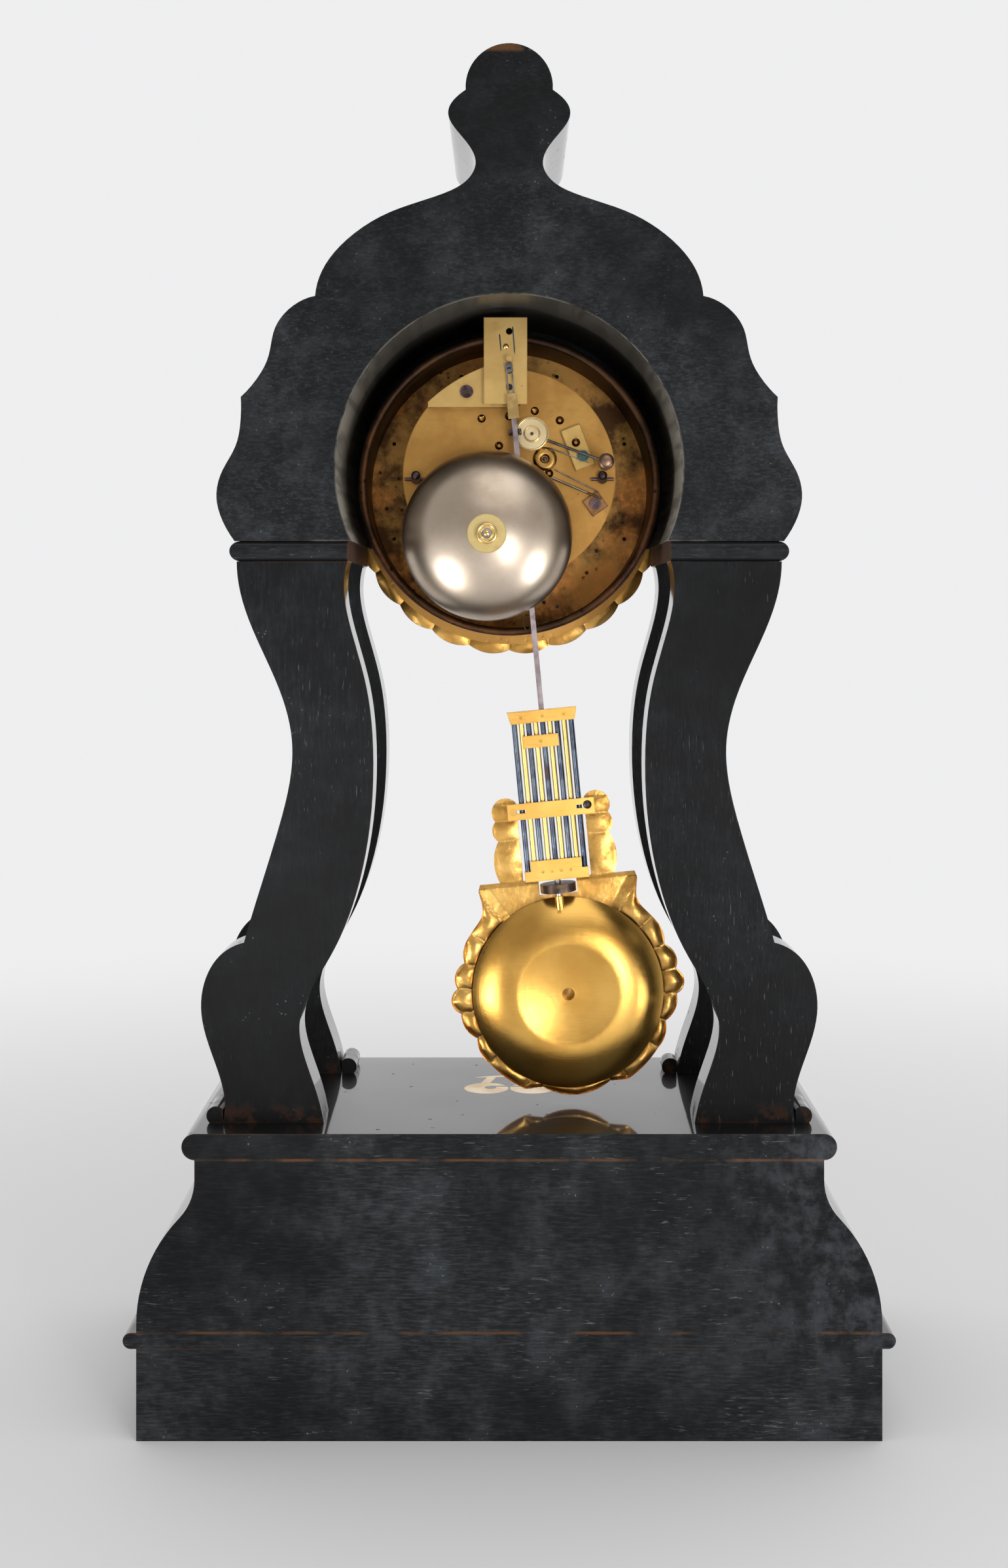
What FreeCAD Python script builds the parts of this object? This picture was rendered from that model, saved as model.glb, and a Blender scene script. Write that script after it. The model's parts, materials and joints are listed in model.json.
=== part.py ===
import FreeCAD, Part
import os
from math import atan2, cos, degrees, hypot, pi, radians, sin

V = FreeCAD.Vector
os.makedirs("parts", exist_ok=True)

# A portico clock: base, four S-shaped columns, arched head, drum movement and gridiron pendulum.
# All sizes are in mm. Depths are counted forward from the flat back of the base, towards the dial.
# +X is on the right of someone who faces the dial, and the dial looks along -Y.

# Base
PLINTH_W = 340.0
PLINTH_D = 179.6
PLINTH_H = 42.0
MOULDING_H = 7.3
MOULDING_OUT = 6.2
OGEE_H = 78.7
OGEE_FLARE = 26.5
OGEE_FOOT_BAND = 3.7
OGEE_NECK_BAND = 9.0
OGEE_COVE_R = 25.4
SLAB_H = 12.0
SLAB_OUT = 5.9
INLAY_T = 0.6
INLAY_DEPTH = 86.0
INLAY_SCROLL_R = 11.0
INLAY_EYE_R = 3.0
INLAY_EYE_SHIFT = 1.6
INLAY_GAP = 0.4
INLAY_SLOT_W = 2.2
INLAY_SLOT_SHIFT = 5.2
INLAY_STEM_W = 4.5
INLAY_STEM_LEAN = 3.5
INLAY_BAR_HALF = 18.0
INLAY_BAR_BOW = 1.5
INLAY_BAR_T = 3.5

# Columns and capitals
COLUMN_H = 261.4
COLUMN_T = 24.0
REAR_COLUMN_BACK = 19.5
FRONT_COLUMN_BACK = 118.0
BEAD_R = 4.4
BEAD_SINK = 1.1
CAPITAL_H = 9.4
CAPITAL_IN = 0.3
CAPITAL_OVER = 2.0
CAPITAL_LIP = 3.0

# Head: four stretches of its outline from the foot up, then the arch and the front board
LOBE_H = 67.2
FLANK_H = 47.0
SHOULDER_H = 96.0
CROWN_H = 21.7
HEAD_D = 128.5
PANEL_T = 8.0
ARCH_GAP = 9.2
ARCH_RISE = 34.2

# Drum, dial and bezel
AXIS_RISE = 28.7
DRUM_R = 71.8
DRUM_WALL = 1.2
DRUM_BACK = 62.5
RING_OUT = 1.4
RING_IN = 1.0
RING_T = 2.6
FLANGE_OUT = 7.2
FLANGE_T = 2.0
SIGHT_IN = 8.4
SIGHT_SLOPE = 2.0
DIAL_OVER = 2.6
DIAL_T = 2.0
DIAL_FOOT_R = 1.6
DIAL_FOOT_IN = 10.0
WINDING_HOLE_PLAY = 1.6
BEZEL_OUT = 3.2
BEZEL_FACE = 15.4
BEZEL_H = 15.4
BEZEL_ROUND = 3.0
BEZEL_FOOT_IN = 2.0
BEZEL_LIP = 3.0
BEZEL_LIP_T = 4.0
BEZEL_LEAF_T = 2.7
BEZEL_LEAF_IN = 6.0
BEZEL_LEAVES = 24
LEAF_RISE = 2.3
GLASS_T = 2.0
HINGE_PIN_R = 1.2
HINGE_ROOM = 9.0
KNUCKLE_R = 2.4
KNUCKLE_LEN = 4.0

# Movement frame
PLATE_R = 52.0
PLATE_RISE = 5.0
PLATE_T = 2.5
PLATE_BACK = 65.5
PLATE_GAP = 44.0
EAR_R = 5.0
DIAL_PLATE_T = 1.5
MOTION_HOLE_R = 30.0
SMALL_HOLE_R = 1.0
SMALL_HOLES = 8
DIAL_GAP = 10.0
PILLAR_R = 3.6
PILLAR_STUB_R = 2.3
STUB_LEN = 4.0
PIN_R = 0.8
PIN_LEN = 11.0
PIVOT_R = 0.8
PIVOT_PLAY = 0.05
ARBOR_R = 1.3
FINE_ARBOR_R = 0.9
SINK_R = 2.6
SINK_OUT = 1.6
RUN_GAP = 0.3

# Arbor places from the centre arbor: across to +X, then up
GOING_BARREL = (24.3, -15.5)
STRIKE_BARREL = (-24.3, -15.5)
GOING_SECOND = (20.0, 4.0)
STRIKE_SECOND = (-19.5, 6.0)
THIRD = (5.0, 19.5)
ESCAPE = (0.0, 34.0)
PIN_WHEEL = (-32.5, 20.9)
FLY = (-24.7, 31.9)
HAMMER = (-11.0, 25.0)
MINUTE_STUD = (0.0, -16.0)
CENTRE = (0.0, 0.0)
TRAIN = (CENTRE, GOING_SECOND, STRIKE_SECOND, THIRD, ESCAPE, FLY)
BARRELS = (GOING_BARREL, STRIKE_BARREL)
SPARE_SINKS = ((13.5, 32.8), (-12.5, 36.5))

# Pillar places from the middle of the plates: across, then up
PINNED_PILLARS = ((45.5, -2.0), (-45.5, -2.0), (10.0, -46.0))
COCK_PILLAR = (20.7, 40.5)
PILLARS = PINNED_PILLARS + (COCK_PILLAR,)

# Wheels: tooth counts, tooth shape in modules and in shares of the pitch, and sizes
GREAT_TEETH = 48
LEAVES = 8
SECOND_TEETH = 40
CENTRE_TEETH = 60
FINE_LEAVES = 6
THIRD_TEETH = 48
ESCAPE_TEETH = 42
STRIKE_TEETH = 32
PIN_TEETH = 48
LIFT_PINS = 10
MOTION_LEAVES = 10
MINUTE_TEETH = 30
MINUTE_LEAVES = 8
HOUR_TEETH = 32
TOOTH_DEPTH = 1.1
TOOTH_TOP = 0.7
ROOT_HALF = 0.25
TIP_HALF = 0.07
WHEEL_T = 1.2
GREAT_T = 1.6
PINION_OVER = 0.3
FINE_PINION_L = 1.0
BARREL_R = 15.6
BARREL_L = 33.0
COLLAR_T = 1.2
COLLAR_OUT = 2.0
WINDING_R = 2.6
WINDING_STEP = 0.6
WINDING_SQUARE = 0.7
WINDING_OUT = 5.0
CENTRE_R = 1.6
CANNON_R = 2.5
HOUR_PIPE_R = 3.7
ESCAPE_R = 11.0
ESCAPE_TOOTH = 1.6
PALLET_GAP = 2.2
ANCHOR_W = 2.4
ANCHOR_T = 2.0
ANCHOR_SPREAD = 52.0
LIFT_PIN_R = 0.6
LIFT_PIN_LEN = 5.0
FLY_HALF = 8.5
FLY_T = 0.8
FLY_L = 14.0

# Wheel layers, counted back from the front plate or forward from the back plate
GREAT_SETBACK = 4.0
CENTRE_SETBACK = 1.8
THIRD_SETBACK = 12.0
ESCAPE_SETBACK = 22.0
STRIKE_LAYER = 1.2
SECOND_LAYER = 3.8
PIN_LAYER = 17.0
FLY_LAYER = 26.0
MOTION_LAYER = 1.6
HOUR_LAYER = 4.6

# Hands
HAND_REACH = 12.0
HOUR_HAND_LIFT = 5.0
MINUTE_HAND_BACK = 2.9
HAND_T = 0.9
HAND_HUB_T = 1.2
HAND_HUB_OUT = 2.0
HAND_EYE_AT = 0.68
HAND_RIM = 1.3
MINUTE_EYE_R = 3.4
HOUR_EYE_R = 4.2
MINUTE_SHARE = 0.852
HOUR_SHARE = 0.584
MINUTE_ANGLE = 60.0
HOUR_ANGLE = 305.0

# Suspension and striking work behind the back plate
PIVOT_RISE = 55.5
SWING = 5.4
PENDULUM_DEPTH = 54.5
BRACKET_W = 21.0
BRACKET_T = 2.0
BRACKET_BACK = 2.5
BRACKET_SIDE = 1.8
BRACKET_DROP = 16.5
BRACKET_TOP_GAP = 5.5
BRACKET_LEG_W = 3.4
BRACKET_LEG_H = 9.0
BRACKET_HOLE_R = 1.6
BRACKET_HOLE_AT = 0.84
STUD_LOW = 3.4
HANGER_R = 1.6
HANGER_LEN = 5.5
COCK_T = 2.0
COCK_GAP = 2.0
COCK_LEFT = -4.0
COCK_RIGHT = 39.6
COCK_LOW = 33.0
COCK_END_H = 2.5
COCK_TOP_OVER = 4.0
COCK_SHOULDER = (11.0, 53.0)
COCK_CURVE = (28.0, 44.6)
COCK_FOOT = (15.0, 36.0)
COCK_FOOT_H = 4.2
CRUTCH_T = 1.5
CRUTCH_GAP = 2.9
CRUTCH_LEN = 30.0
CRUTCH_HALF = 1.2
CRUTCH_EYE_R = 3.0
CRUTCH_FOOT_H = 3.0
PALLET_ARBOR_R = 1.0
POTENCE_T = 2.5
POTENCE_W = 10.0
POTENCE_H = 21.0
POTENCE_LEAN = 21.0
POTENCE_DROP = 2.6
POTENCE_SCREW = (-3.4, -6.6)
BELL = (10.5, -25.0)
BELL_R = 41.0
BELL_DEPTH = 26.5
BELL_WALL = 1.6
BELL_MOUTH = 49.5
BELL_BULGE_R = 0.72
BELL_BULGE_DROP = 0.3
POST_R = 2.2
POST_SHOULDER = 0.6
POST_END = 0.6
WASHER_R = 9.2
WASHER_T = 1.4
NUT_R = 4.5
NUT_T = 3.2
HUB_R = 8.2
HUB_T = 3.0
HUB_BOSS_T = 0.8
HUB_BOSS_SHARE = 0.4
HAMMER_REACH = 38.3
HAMMER_ANGLE = 202.8
HAMMER_HEAD_R = 3.9
HAMMER_HEAD_L = 8.0
WIRE_R = 0.7
TAIL_GAP = 0.9
TAIL_H = 2.0
TAIL_T = 1.5
TAIL_LAYER = 2.5
SPRING_BLOCK_AT = (-42.0, -14.0)
SPRING_BLOCK = 9.0
SPRING_BLOCK_T = 2.5
SPRING_BLOCK_LEAN = 35.0
SPRING_WIRE_R = 0.6
SPRING_FROM = (-45.0, -11.5)
SPRING_TO = (-20.8, -1.3)
SCREW_R = 3.2
SCREW_T = 1.6
SCREW_SLOT_W = 0.8
SCREW_SLOT_DEPTH = 0.7

# Pendulum, from its bending point down
ROD_W = 2.5
ROD_T = 1.6
SPRING_LEN = 15.0
SPRING_W = 0.6
SPRING_T = 0.5
SPRING_PITCH = 2.6
CLIP_W = 3.6
CLIP_H = 2.0
CLIP_T = 1.6
CHAPE_LEN = 12.0
CHAPE_W = 5.2
CHAPE_T = 3.6
GRID_TOP = 165.0
TOP_BRIDGE_H = 6.0
GRID_LEN = 66.5
GRID_RODS = 9
GRID_ROD_R = 1.3
GRID_PITCH = 3.45
BRIDGE_T = 4.4
BRIDGE_END = 0.4
BRIDGE_FLARE = 1.4
SMALL_BRIDGE = (-6.9, 10.5)
SMALL_BRIDGE_DROP = 6.0
SMALL_BRIDGE_H = 6.0
RIVET_R = 0.6
RIVET_DEPTH = 0.8
BOTTOM_BRIDGE_H = 9.9
BRIDGE_STEP = 4.9
STRAP_T = 1.5
STRAP_H = 7.8
STRAP_OVER = 5.6
STRAP_DROP = 38.2
SLOT_LEN = 6.0
SLOT_W = 1.6
NUT_GAP = 1.9
RATING_NUT_R = 8.6
RATING_NUT_T = 4.0
NUT_ROOM = 0.6
BOB_TRAVEL = 1.4
STUD_R = 1.5
STUD_PLAY = 0.08
STUD_IN = 3.0
SOCKET_WALL = 0.7
SOCKET_LEN = 11.0
BOB_R = 46.2
BOB_GAP = 3.0
BOB_BACK = 2.5
BOB_DEPTH = 8.5
BOB_EYE_R = 3.0
BOB_RIM_T = 0.8
BOB_RIDGE = 0.53
SURROUND_T = 3.0
ROSETTE_H = 4.5
ROSETTE_SHARE = 0.86
ARM_GAP = 1.0
ARM_OVER = 3.2
STRAP_PIN_R = 1.5
STRAP_PIN_IN = 3.0

# Levels and depths that follow from the sizes above
OVERALL_D = PLINTH_D + MOULDING_OUT
HALF_FOOT = PLINTH_W / 2
HALF_NECK = HALF_FOOT - OGEE_FLARE
NECK_FRONT = PLINTH_D - OGEE_FLARE
Z_MOULDING = PLINTH_H
Z_OGEE = Z_MOULDING + MOULDING_H
Z_SLAB = Z_OGEE + OGEE_H
Z_TOP = Z_SLAB + SLAB_H
Z_CAPITAL = Z_TOP + COLUMN_H
Z_HEAD = Z_CAPITAL + CAPITAL_H
Z_AXIS = Z_HEAD + AXIS_RISE
Z_PLATE = Z_AXIS + PLATE_RISE
Z_PIVOT = Z_AXIS + PIVOT_RISE
ARCH_R = DRUM_R + ARCH_GAP
RING_R = DRUM_R + RING_OUT
FLANGE_R = DRUM_R + FLANGE_OUT
SIGHT_R = DRUM_R - SIGHT_IN
DIAL_R = SIGHT_R + DIAL_OVER
BEZEL_R = FLANGE_R + BEZEL_OUT
GLASS_R = BEZEL_R - BEZEL_FACE
HEAD_FRONT = REAR_COLUMN_BACK + HEAD_D
PLATE_IN = PLATE_BACK + PLATE_T
FRONT_IN = PLATE_IN + PLATE_GAP
FRONT_OUT = FRONT_IN + PLATE_T
DIAL_PLATE_FRONT = FRONT_OUT + DIAL_PLATE_T
DIAL_BACK = DIAL_PLATE_FRONT + DIAL_GAP
DIAL_FRONT = DIAL_BACK + DIAL_T
FLANGE_FRONT = HEAD_FRONT + FLANGE_T
BEZEL_BACK = FLANGE_FRONT + RUN_GAP


def back(depth):
    """Y of a depth counted forward from the back of the base."""
    return OVERALL_D / 2 - depth


def plate(edges, near, far):
    """Solid between two depths with an outline given by edges in the x-z plane."""
    wire = Part.Wire(Part.__sortEdges__(edges))
    solid = Part.Face(wire).extrude(V(0, near - far, 0))
    solid.translate(V(0, back(near), 0))
    return solid


def loop(points):
    """Closed chain of straight edges through x-z points."""
    corners = [V(x, 0, z) for x, z in points]
    return Part.makePolygon(corners + corners[:1]).Edges


def line(a, b):
    return Part.makeLine(V(a[0], 0, a[1]), V(b[0], 0, b[1]))


def arc(a, b, c):
    return Part.Arc(V(a[0], 0, a[1]), V(b[0], 0, b[1]), V(c[0], 0, c[1])).toShape()


def curve(points):
    spline = Part.BSplineCurve()
    spline.interpolate([V(x, 0, z) for x, z in points])
    return spline.toShape()


def mirrored(points):
    return [(-x, z) for x, z in reversed(points)]


def rod(x, z, near, far, r):
    """Cylinder along the depth between two depths."""
    return Part.makeCylinder(r, far - near, V(x, back(near), z), V(0, -1, 0))


def tube(x, z, near, far, r, bore):
    return rod(x, z, near, far, r).cut(rod(x, z, near - 1, far + 1, bore))


def block(x0, x1, z0, z1, near, far):
    return Part.makeBox(x1 - x0, far - near, z1 - z0, V(x0, back(far), z0))


def turned(x, z, edges):
    """Solid turned about a depth axis; each edge runs between (radius, depth) points."""
    face = Part.Face(Part.Wire(Part.__sortEdges__(edges)))
    solid = face.revolve(V(0, 0, 0), V(0, 1, 0), 360)
    solid.translate(V(x, 0, z))
    return solid


def profile(points):
    """Straight edges round a closed turning profile of (radius, depth) points."""
    corners = [V(r, back(d), 0) for r, d in points]
    return Part.makePolygon(corners + corners[:1]).Edges


def bend(a, b, c):
    """Arc through three (radius, depth) points of a turning profile."""
    return Part.Arc(*[V(r, back(d), 0) for r, d in (a, b, c)]).toShape()


def straight(a, b):
    """Straight edge between two (radius, depth) points of a turning profile."""
    return Part.makeLine(V(a[0], back(a[1]), 0), V(b[0], back(b[1]), 0))


def union(first, *rest):
    return first.fuse(list(rest)).removeSplitter() if rest else first


def save(name, *solids):
    shape = solids[0] if len(solids) == 1 else Part.makeCompound(list(solids))
    shape.exportStep("parts/" + name + ".step")


def place(arbor):
    """x and z of an arbor given from the centre arbor."""
    return arbor[0], Z_AXIS + arbor[1]


def gear_phase(driver, driven, teeth, other, phase):
    """First-tooth angle of a wheel whose gaps take the teeth of the wheel it meshes with."""
    line_of_centres = atan2(driven[1] - driver[1], driven[0] - driver[0])
    lag = (line_of_centres - phase) * teeth / other
    return line_of_centres + pi + lag + pi / other


def gear(arbor, teeth, module, near, far, phase):
    """Wheel with tapered straight-sided teeth: tip, flank and root at each tooth."""
    x, z = place(arbor)
    pitch_r = teeth * module / 2
    root_r = pitch_r - TOOTH_DEPTH * module
    tip_r = pitch_r + TOOTH_TOP * module
    step = 2 * pi / teeth
    points = []
    for tooth in range(teeth):
        middle = phase + tooth * step
        for r, share in ((root_r, -ROOT_HALF), (tip_r, -TIP_HALF), (tip_r, TIP_HALF), (root_r, ROOT_HALF)):
            angle = middle + share * step
            points.append((x + r * cos(angle), z + r * sin(angle)))
    return plate(loop(points), near, far)


def mesh_module(a, b, teeth_a, teeth_b):
    """Module that makes two wheels meet at the distance between their arbors."""
    return 2 * hypot(b[0] - a[0], b[1] - a[1]) / (teeth_a + teeth_b)


def arbor_rod(arbor, r=ARBOR_R):
    """Arbor between the plates with a thin pivot at each end."""
    x, z = place(arbor)
    body = rod(x, z, PLATE_IN + RUN_GAP, FRONT_IN - RUN_GAP, r)
    pivots = rod(x, z, PLATE_BACK + RUN_GAP, FRONT_OUT - RUN_GAP, PIVOT_R)
    return union(body, pivots)


# Base plinth: the plain block that the clock stands on
save("base_plinth", block(-HALF_FOOT, HALF_FOOT, 0, PLINTH_H, 0, PLINTH_D))


def side_view(edges, half):
    """Solid across the whole width with an outline given in depth and height."""
    wire = Part.Wire(Part.__sortEdges__(edges))
    solid = Part.Face(wire).extrude(V(2 * half, 0, 0))
    solid.translate(V(-half, 0, 0))
    return solid


def in_depth(a, b, *c):
    """Edge between two (depth, height) points, or an arc through three."""
    points = [V(0, back(d), z) for d, z in (a, b) + c]
    return Part.Arc(*points).toShape() if c else Part.makeLine(*points)


def nosed_slab(half, front, z, height):
    """Board with a half-round nose at both ends and along the front, and a flat back."""
    r = height / 2
    top = z + height
    ends = [
        line((r - half, z), (half - r, z)),
        arc((half - r, z), (half, z + r), (half - r, top)),
        line((half - r, top), (r - half, top)),
        arc((r - half, top), (-half, z + r), (r - half, z)),
    ]
    long_nose = [
        in_depth((0, z), (front - r, z)),
        in_depth((front - r, z), (front, z + r), (front - r, top)),
        in_depth((front - r, top), (0, top)),
        in_depth((0, top), (0, z)),
    ]
    return plate(ends, 0, front).common(side_view(long_nose, half))


# Base moulding between the plinth and the ogee
save("base_moulding", nosed_slab(HALF_FOOT + MOULDING_OUT, OVERALL_D, Z_MOULDING, MOULDING_H))


# Ogee body: a round below and a cove above, two tangent arcs, mitred round the ends and front
def ogee_side(foot, join, mirror=1):
    """Edges of one ogee side from its foot up; join makes an edge from two or three points."""
    low = Z_OGEE + OGEE_FOOT_BAND
    high = Z_SLAB - OGEE_NECK_BAND
    rise = high - low
    round_r = (OGEE_FLARE**2 + rise**2) / (2 * OGEE_FLARE) - OGEE_COVE_R
    share = round_r / (round_r + OGEE_COVE_R)
    neck = foot - OGEE_FLARE
    meet = (foot - share * OGEE_FLARE, low + share * rise)
    turn = atan2(meet[1] - low, meet[0] - (foot - round_r))
    round_mid = (foot - round_r + round_r * cos(turn / 2), low + round_r * sin(turn / 2))
    cove_mid = (neck + OGEE_COVE_R * (1 - cos(turn / 2)), high - OGEE_COVE_R * sin(turn / 2))
    stops = [(foot, Z_OGEE), (foot, low), round_mid, meet, cove_mid, (neck, high), (neck, Z_SLAB)]
    foot_pt, low_pt, round_pt, meet_pt, cove_pt, high_pt, neck_pt = [(mirror * x, z) for x, z in stops]
    return [join(foot_pt, low_pt), join(low_pt, round_pt, meet_pt),
            join(meet_pt, cove_pt, high_pt), join(high_pt, neck_pt)]


def in_front(a, b, *c):
    """Edge between two (x, z) points, or an arc through three."""
    return arc(a, b, c[0]) if c else line(a, b)


ogee_ends = ogee_side(HALF_FOOT, in_front) + ogee_side(HALF_FOOT, in_front, -1)
ogee_ends.append(line((-HALF_FOOT, Z_OGEE), (HALF_FOOT, Z_OGEE)))
ogee_ends.append(line((-HALF_NECK, Z_SLAB), (HALF_NECK, Z_SLAB)))
ogee_front = ogee_side(PLINTH_D, in_depth)
ogee_front.append(in_depth((0, Z_OGEE), (PLINTH_D, Z_OGEE)))
ogee_front.append(in_depth((NECK_FRONT, Z_SLAB), (0, Z_SLAB)))
ogee_front.append(in_depth((0, Z_SLAB), (0, Z_OGEE)))
save("base_ogee", plate(ogee_ends, 0, PLINTH_D).common(side_view(ogee_front, HALF_FOOT)))


# Brass scrollwork let into the top of the base: a pair of C-scrolls under a flared bar
def flat_plate(edges_at):
    """Sheet let into the top of the base, from an outline of (x, depth) points or edges."""
    wire = Part.Wire(Part.__sortEdges__(edges_at))
    return Part.Face(wire).extrude(V(0, 0, INLAY_T))


def on_top(x, depth):
    return V(x, back(depth), Z_TOP - INLAY_T)


def scroll(side):
    eye_x = INLAY_SCROLL_R - INLAY_EYE_SHIFT
    disc = Part.makeCylinder(INLAY_SCROLL_R, INLAY_T, on_top(side * (INLAY_SCROLL_R + INLAY_GAP), INLAY_DEPTH))
    eye = Part.makeCylinder(INLAY_EYE_R, INLAY_T, on_top(side * eye_x, INLAY_DEPTH + INLAY_EYE_SHIFT))
    slot_start = on_top(min(0.0, side * eye_x), INLAY_DEPTH + INLAY_SLOT_SHIFT)
    slot = Part.makeBox(eye_x, INLAY_SLOT_W, INLAY_T, slot_start)
    stem_low = INLAY_DEPTH + INLAY_SCROLL_R - INLAY_EYE_SHIFT
    stem_x = INLAY_SCROLL_R - INLAY_EYE_SHIFT / 2
    stem_points = [(stem_x, stem_low), (stem_x + INLAY_STEM_W, stem_low),
                   (stem_x + INLAY_STEM_W - INLAY_STEM_LEAN, bar_near + INLAY_BAR_BOW / 2),
                   (stem_x - INLAY_STEM_LEAN, bar_near + INLAY_BAR_BOW / 2)]
    corners = [on_top(side * x, depth) for x, depth in stem_points]
    stem = flat_plate(Part.makePolygon(corners + corners[:1]).Edges)
    return disc.cut(eye).cut(slot).fuse(stem)


def bar_edge(bow):
    """Curved long edge of the bar, bowed forward in its middle."""
    ends = [on_top(-INLAY_BAR_HALF, bar_near), on_top(INLAY_BAR_HALF, bar_near)]
    return Part.Arc(ends[0], on_top(0, bar_near + bow), ends[1]).toShape()


bar_near = INLAY_DEPTH + 2 * INLAY_SCROLL_R
bar = flat_plate([bar_edge(INLAY_BAR_BOW), bar_edge(INLAY_BAR_BOW + INLAY_BAR_T)])
inlay = union(scroll(-1), scroll(1), bar)
save("top_inlay", inlay)

# Base top: nosed slab with the bed of the inlay cut in it
slab = nosed_slab(HALF_NECK + SLAB_OUT, NECK_FRONT + SLAB_OUT, Z_SLAB, SLAB_H)
save("base_top", slab.cut(inlay))

# Columns: stations down the outer and inner sides, as shares of the neck's half width and of the height
OUTER_UPPER = [(0.8843, 1.0), (0.8334, 0.88), (0.7387, 0.761), (0.7045, 0.676), (0.7456, 0.53),
               (0.8265, 0.385), (0.8606, 0.321)]
OUTER_LOWER = [(0.8606, 0.321), (0.9547, 0.288), (1, 0.21), (0.9645, 0.122), (0.9226, 0.034),
               (0.9289, 0.0)]
INNER = [(0.6014, 0.0), (0.6314, 0.065), (0.6801, 0.175), (0.5784, 0.298), (0.4934, 0.413),
         (0.4404, 0.646), (0.4662, 0.784), (0.5136, 0.88), (0.5359, 0.96), (0.5247, 1.0)]

# Head: stations of its three stretches, as shares of the neck's half width and of the stretch's height
LOBE = [(0.8913, 0.0), (0.9415, 0.204), (0.9498, 0.293), (0.9331, 0.479), (0.8885, 0.658),
        (0.8718, 0.836), (0.8711, 1.0)]
FLANK = [(0.8711, 0.0), (0.8265, 0.149), (0.7812, 0.404), (0.7617, 0.67), (0.6885, 0.93), (0.63, 1.0)]
SHOULDER = [(0.63, 0.0), (0.6056, 0.128), (0.5213, 0.281), (0.3882, 0.406), (0.2091, 0.5),
            (0.1289, 0.576), (0.1094, 0.639), (0.1303, 0.729), (0.1923, 0.852), (0.1415, 1.0)]


def column_solid(side, near):
    def stations(shares):
        return [(side * across * HALF_NECK, Z_TOP + up * COLUMN_H) for across, up in shares]

    outer_top, outer_low, inner = stations(OUTER_UPPER), stations(OUTER_LOWER), stations(INNER)
    edges = [curve(outer_top), curve(outer_low), line(outer_low[-1], inner[0]), curve(inner),
             line(inner[-1], outer_top[0])]
    return plate(edges, near, near + COLUMN_T)


for name, side, near in (("rear_right", 1, REAR_COLUMN_BACK), ("rear_left", -1, REAR_COLUMN_BACK),
                         ("front_right", 1, FRONT_COLUMN_BACK), ("front_left", -1, FRONT_COLUMN_BACK)):
    save(name + "_column", column_solid(side, near))


# Half-round beads glued along the feet of the columns, flat on the slab and on the column
def foot_bead(side, outward, near, length=COLUMN_T):
    foot_x = HALF_NECK * (OUTER_LOWER[-1][0] if outward > 0 else INNER[0][0])
    x = side * (foot_x + outward * (BEAD_R - BEAD_SINK))
    z = Z_TOP + BEAD_R - BEAD_SINK
    round_rod = rod(x, z, near, near + length, BEAD_R)
    wall = sorted((side * foot_x, side * (foot_x + outward * 3 * BEAD_R)))
    keep = block(wall[0], wall[1], Z_TOP, Z_TOP + 3 * BEAD_R, near, near + length)
    return round_rod.common(keep).cut(column_solid(side, near))


beads = [foot_bead(side, 1, near) for side in (1, -1) for near in (REAR_COLUMN_BACK, FRONT_COLUMN_BACK)]
beads.append(foot_bead(1, -1, FRONT_COLUMN_BACK))
beads.append(foot_bead(-1, -1, FRONT_COLUMN_BACK, COLUMN_T / 2))
save("foot_beads", *beads)


# Capitals: one nosed board over each pair of columns, plain at the inner end
def capital(side):
    r = CAPITAL_H / 2
    top = Z_CAPITAL + CAPITAL_H
    near, far = REAR_COLUMN_BACK - CAPITAL_LIP, HEAD_FRONT + FLANGE_T / 2
    reach = LOBE[0][0] * HALF_NECK + CAPITAL_OVER
    inner = side * (INNER[-1][0] * HALF_NECK - CAPITAL_IN)
    outer = side * reach
    shoulder = side * (reach - r)
    ends = [line((inner, Z_CAPITAL), (shoulder, Z_CAPITAL)),
            arc((shoulder, Z_CAPITAL), (outer, Z_CAPITAL + r), (shoulder, top)),
            line((shoulder, top), (inner, top)), line((inner, top), (inner, Z_CAPITAL))]
    long_edges = [in_depth((near + r, Z_CAPITAL), (far - r, Z_CAPITAL)),
                  in_depth((far - r, Z_CAPITAL), (far, Z_CAPITAL + r), (far - r, top)),
                  in_depth((far - r, top), (near + r, top)),
                  in_depth((near + r, top), (near, Z_CAPITAL + r), (near + r, Z_CAPITAL))]
    return plate(ends, near, far).common(side_view(long_edges, reach))


save("capitals", capital(1), capital(-1))


def head_outline():
    edges = []
    foot = Z_HEAD
    for stations, height in ((LOBE, LOBE_H), (FLANK, FLANK_H), (SHOULDER, SHOULDER_H)):
        points = [(across * HALF_NECK, foot + up * height) for across, up in stations]
        edges += [curve(points), curve(mirrored(points))]
        foot += height
    crown = SHOULDER[-1][0] * HALF_NECK
    lobe_foot = LOBE[0][0] * HALF_NECK
    edges.append(arc((crown, foot), (0, foot + CROWN_H), (-crown, foot)))
    edges.append(line((-lobe_foot, Z_HEAD), (lobe_foot, Z_HEAD)))
    return edges


panel_back = HEAD_FRONT - PANEL_T
arch = rod(0, Z_HEAD + ARCH_RISE, REAR_COLUMN_BACK - 1, panel_back + 1, ARCH_R)
save("head_block", plate(head_outline(), REAR_COLUMN_BACK, panel_back).cut(arch))
drum_hole = rod(0, Z_AXIS, panel_back - 1, HEAD_FRONT + 1, DRUM_R + RUN_GAP)
save("head_front_panel", plate(head_outline(), panel_back, HEAD_FRONT).cut(drum_hole))

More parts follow.
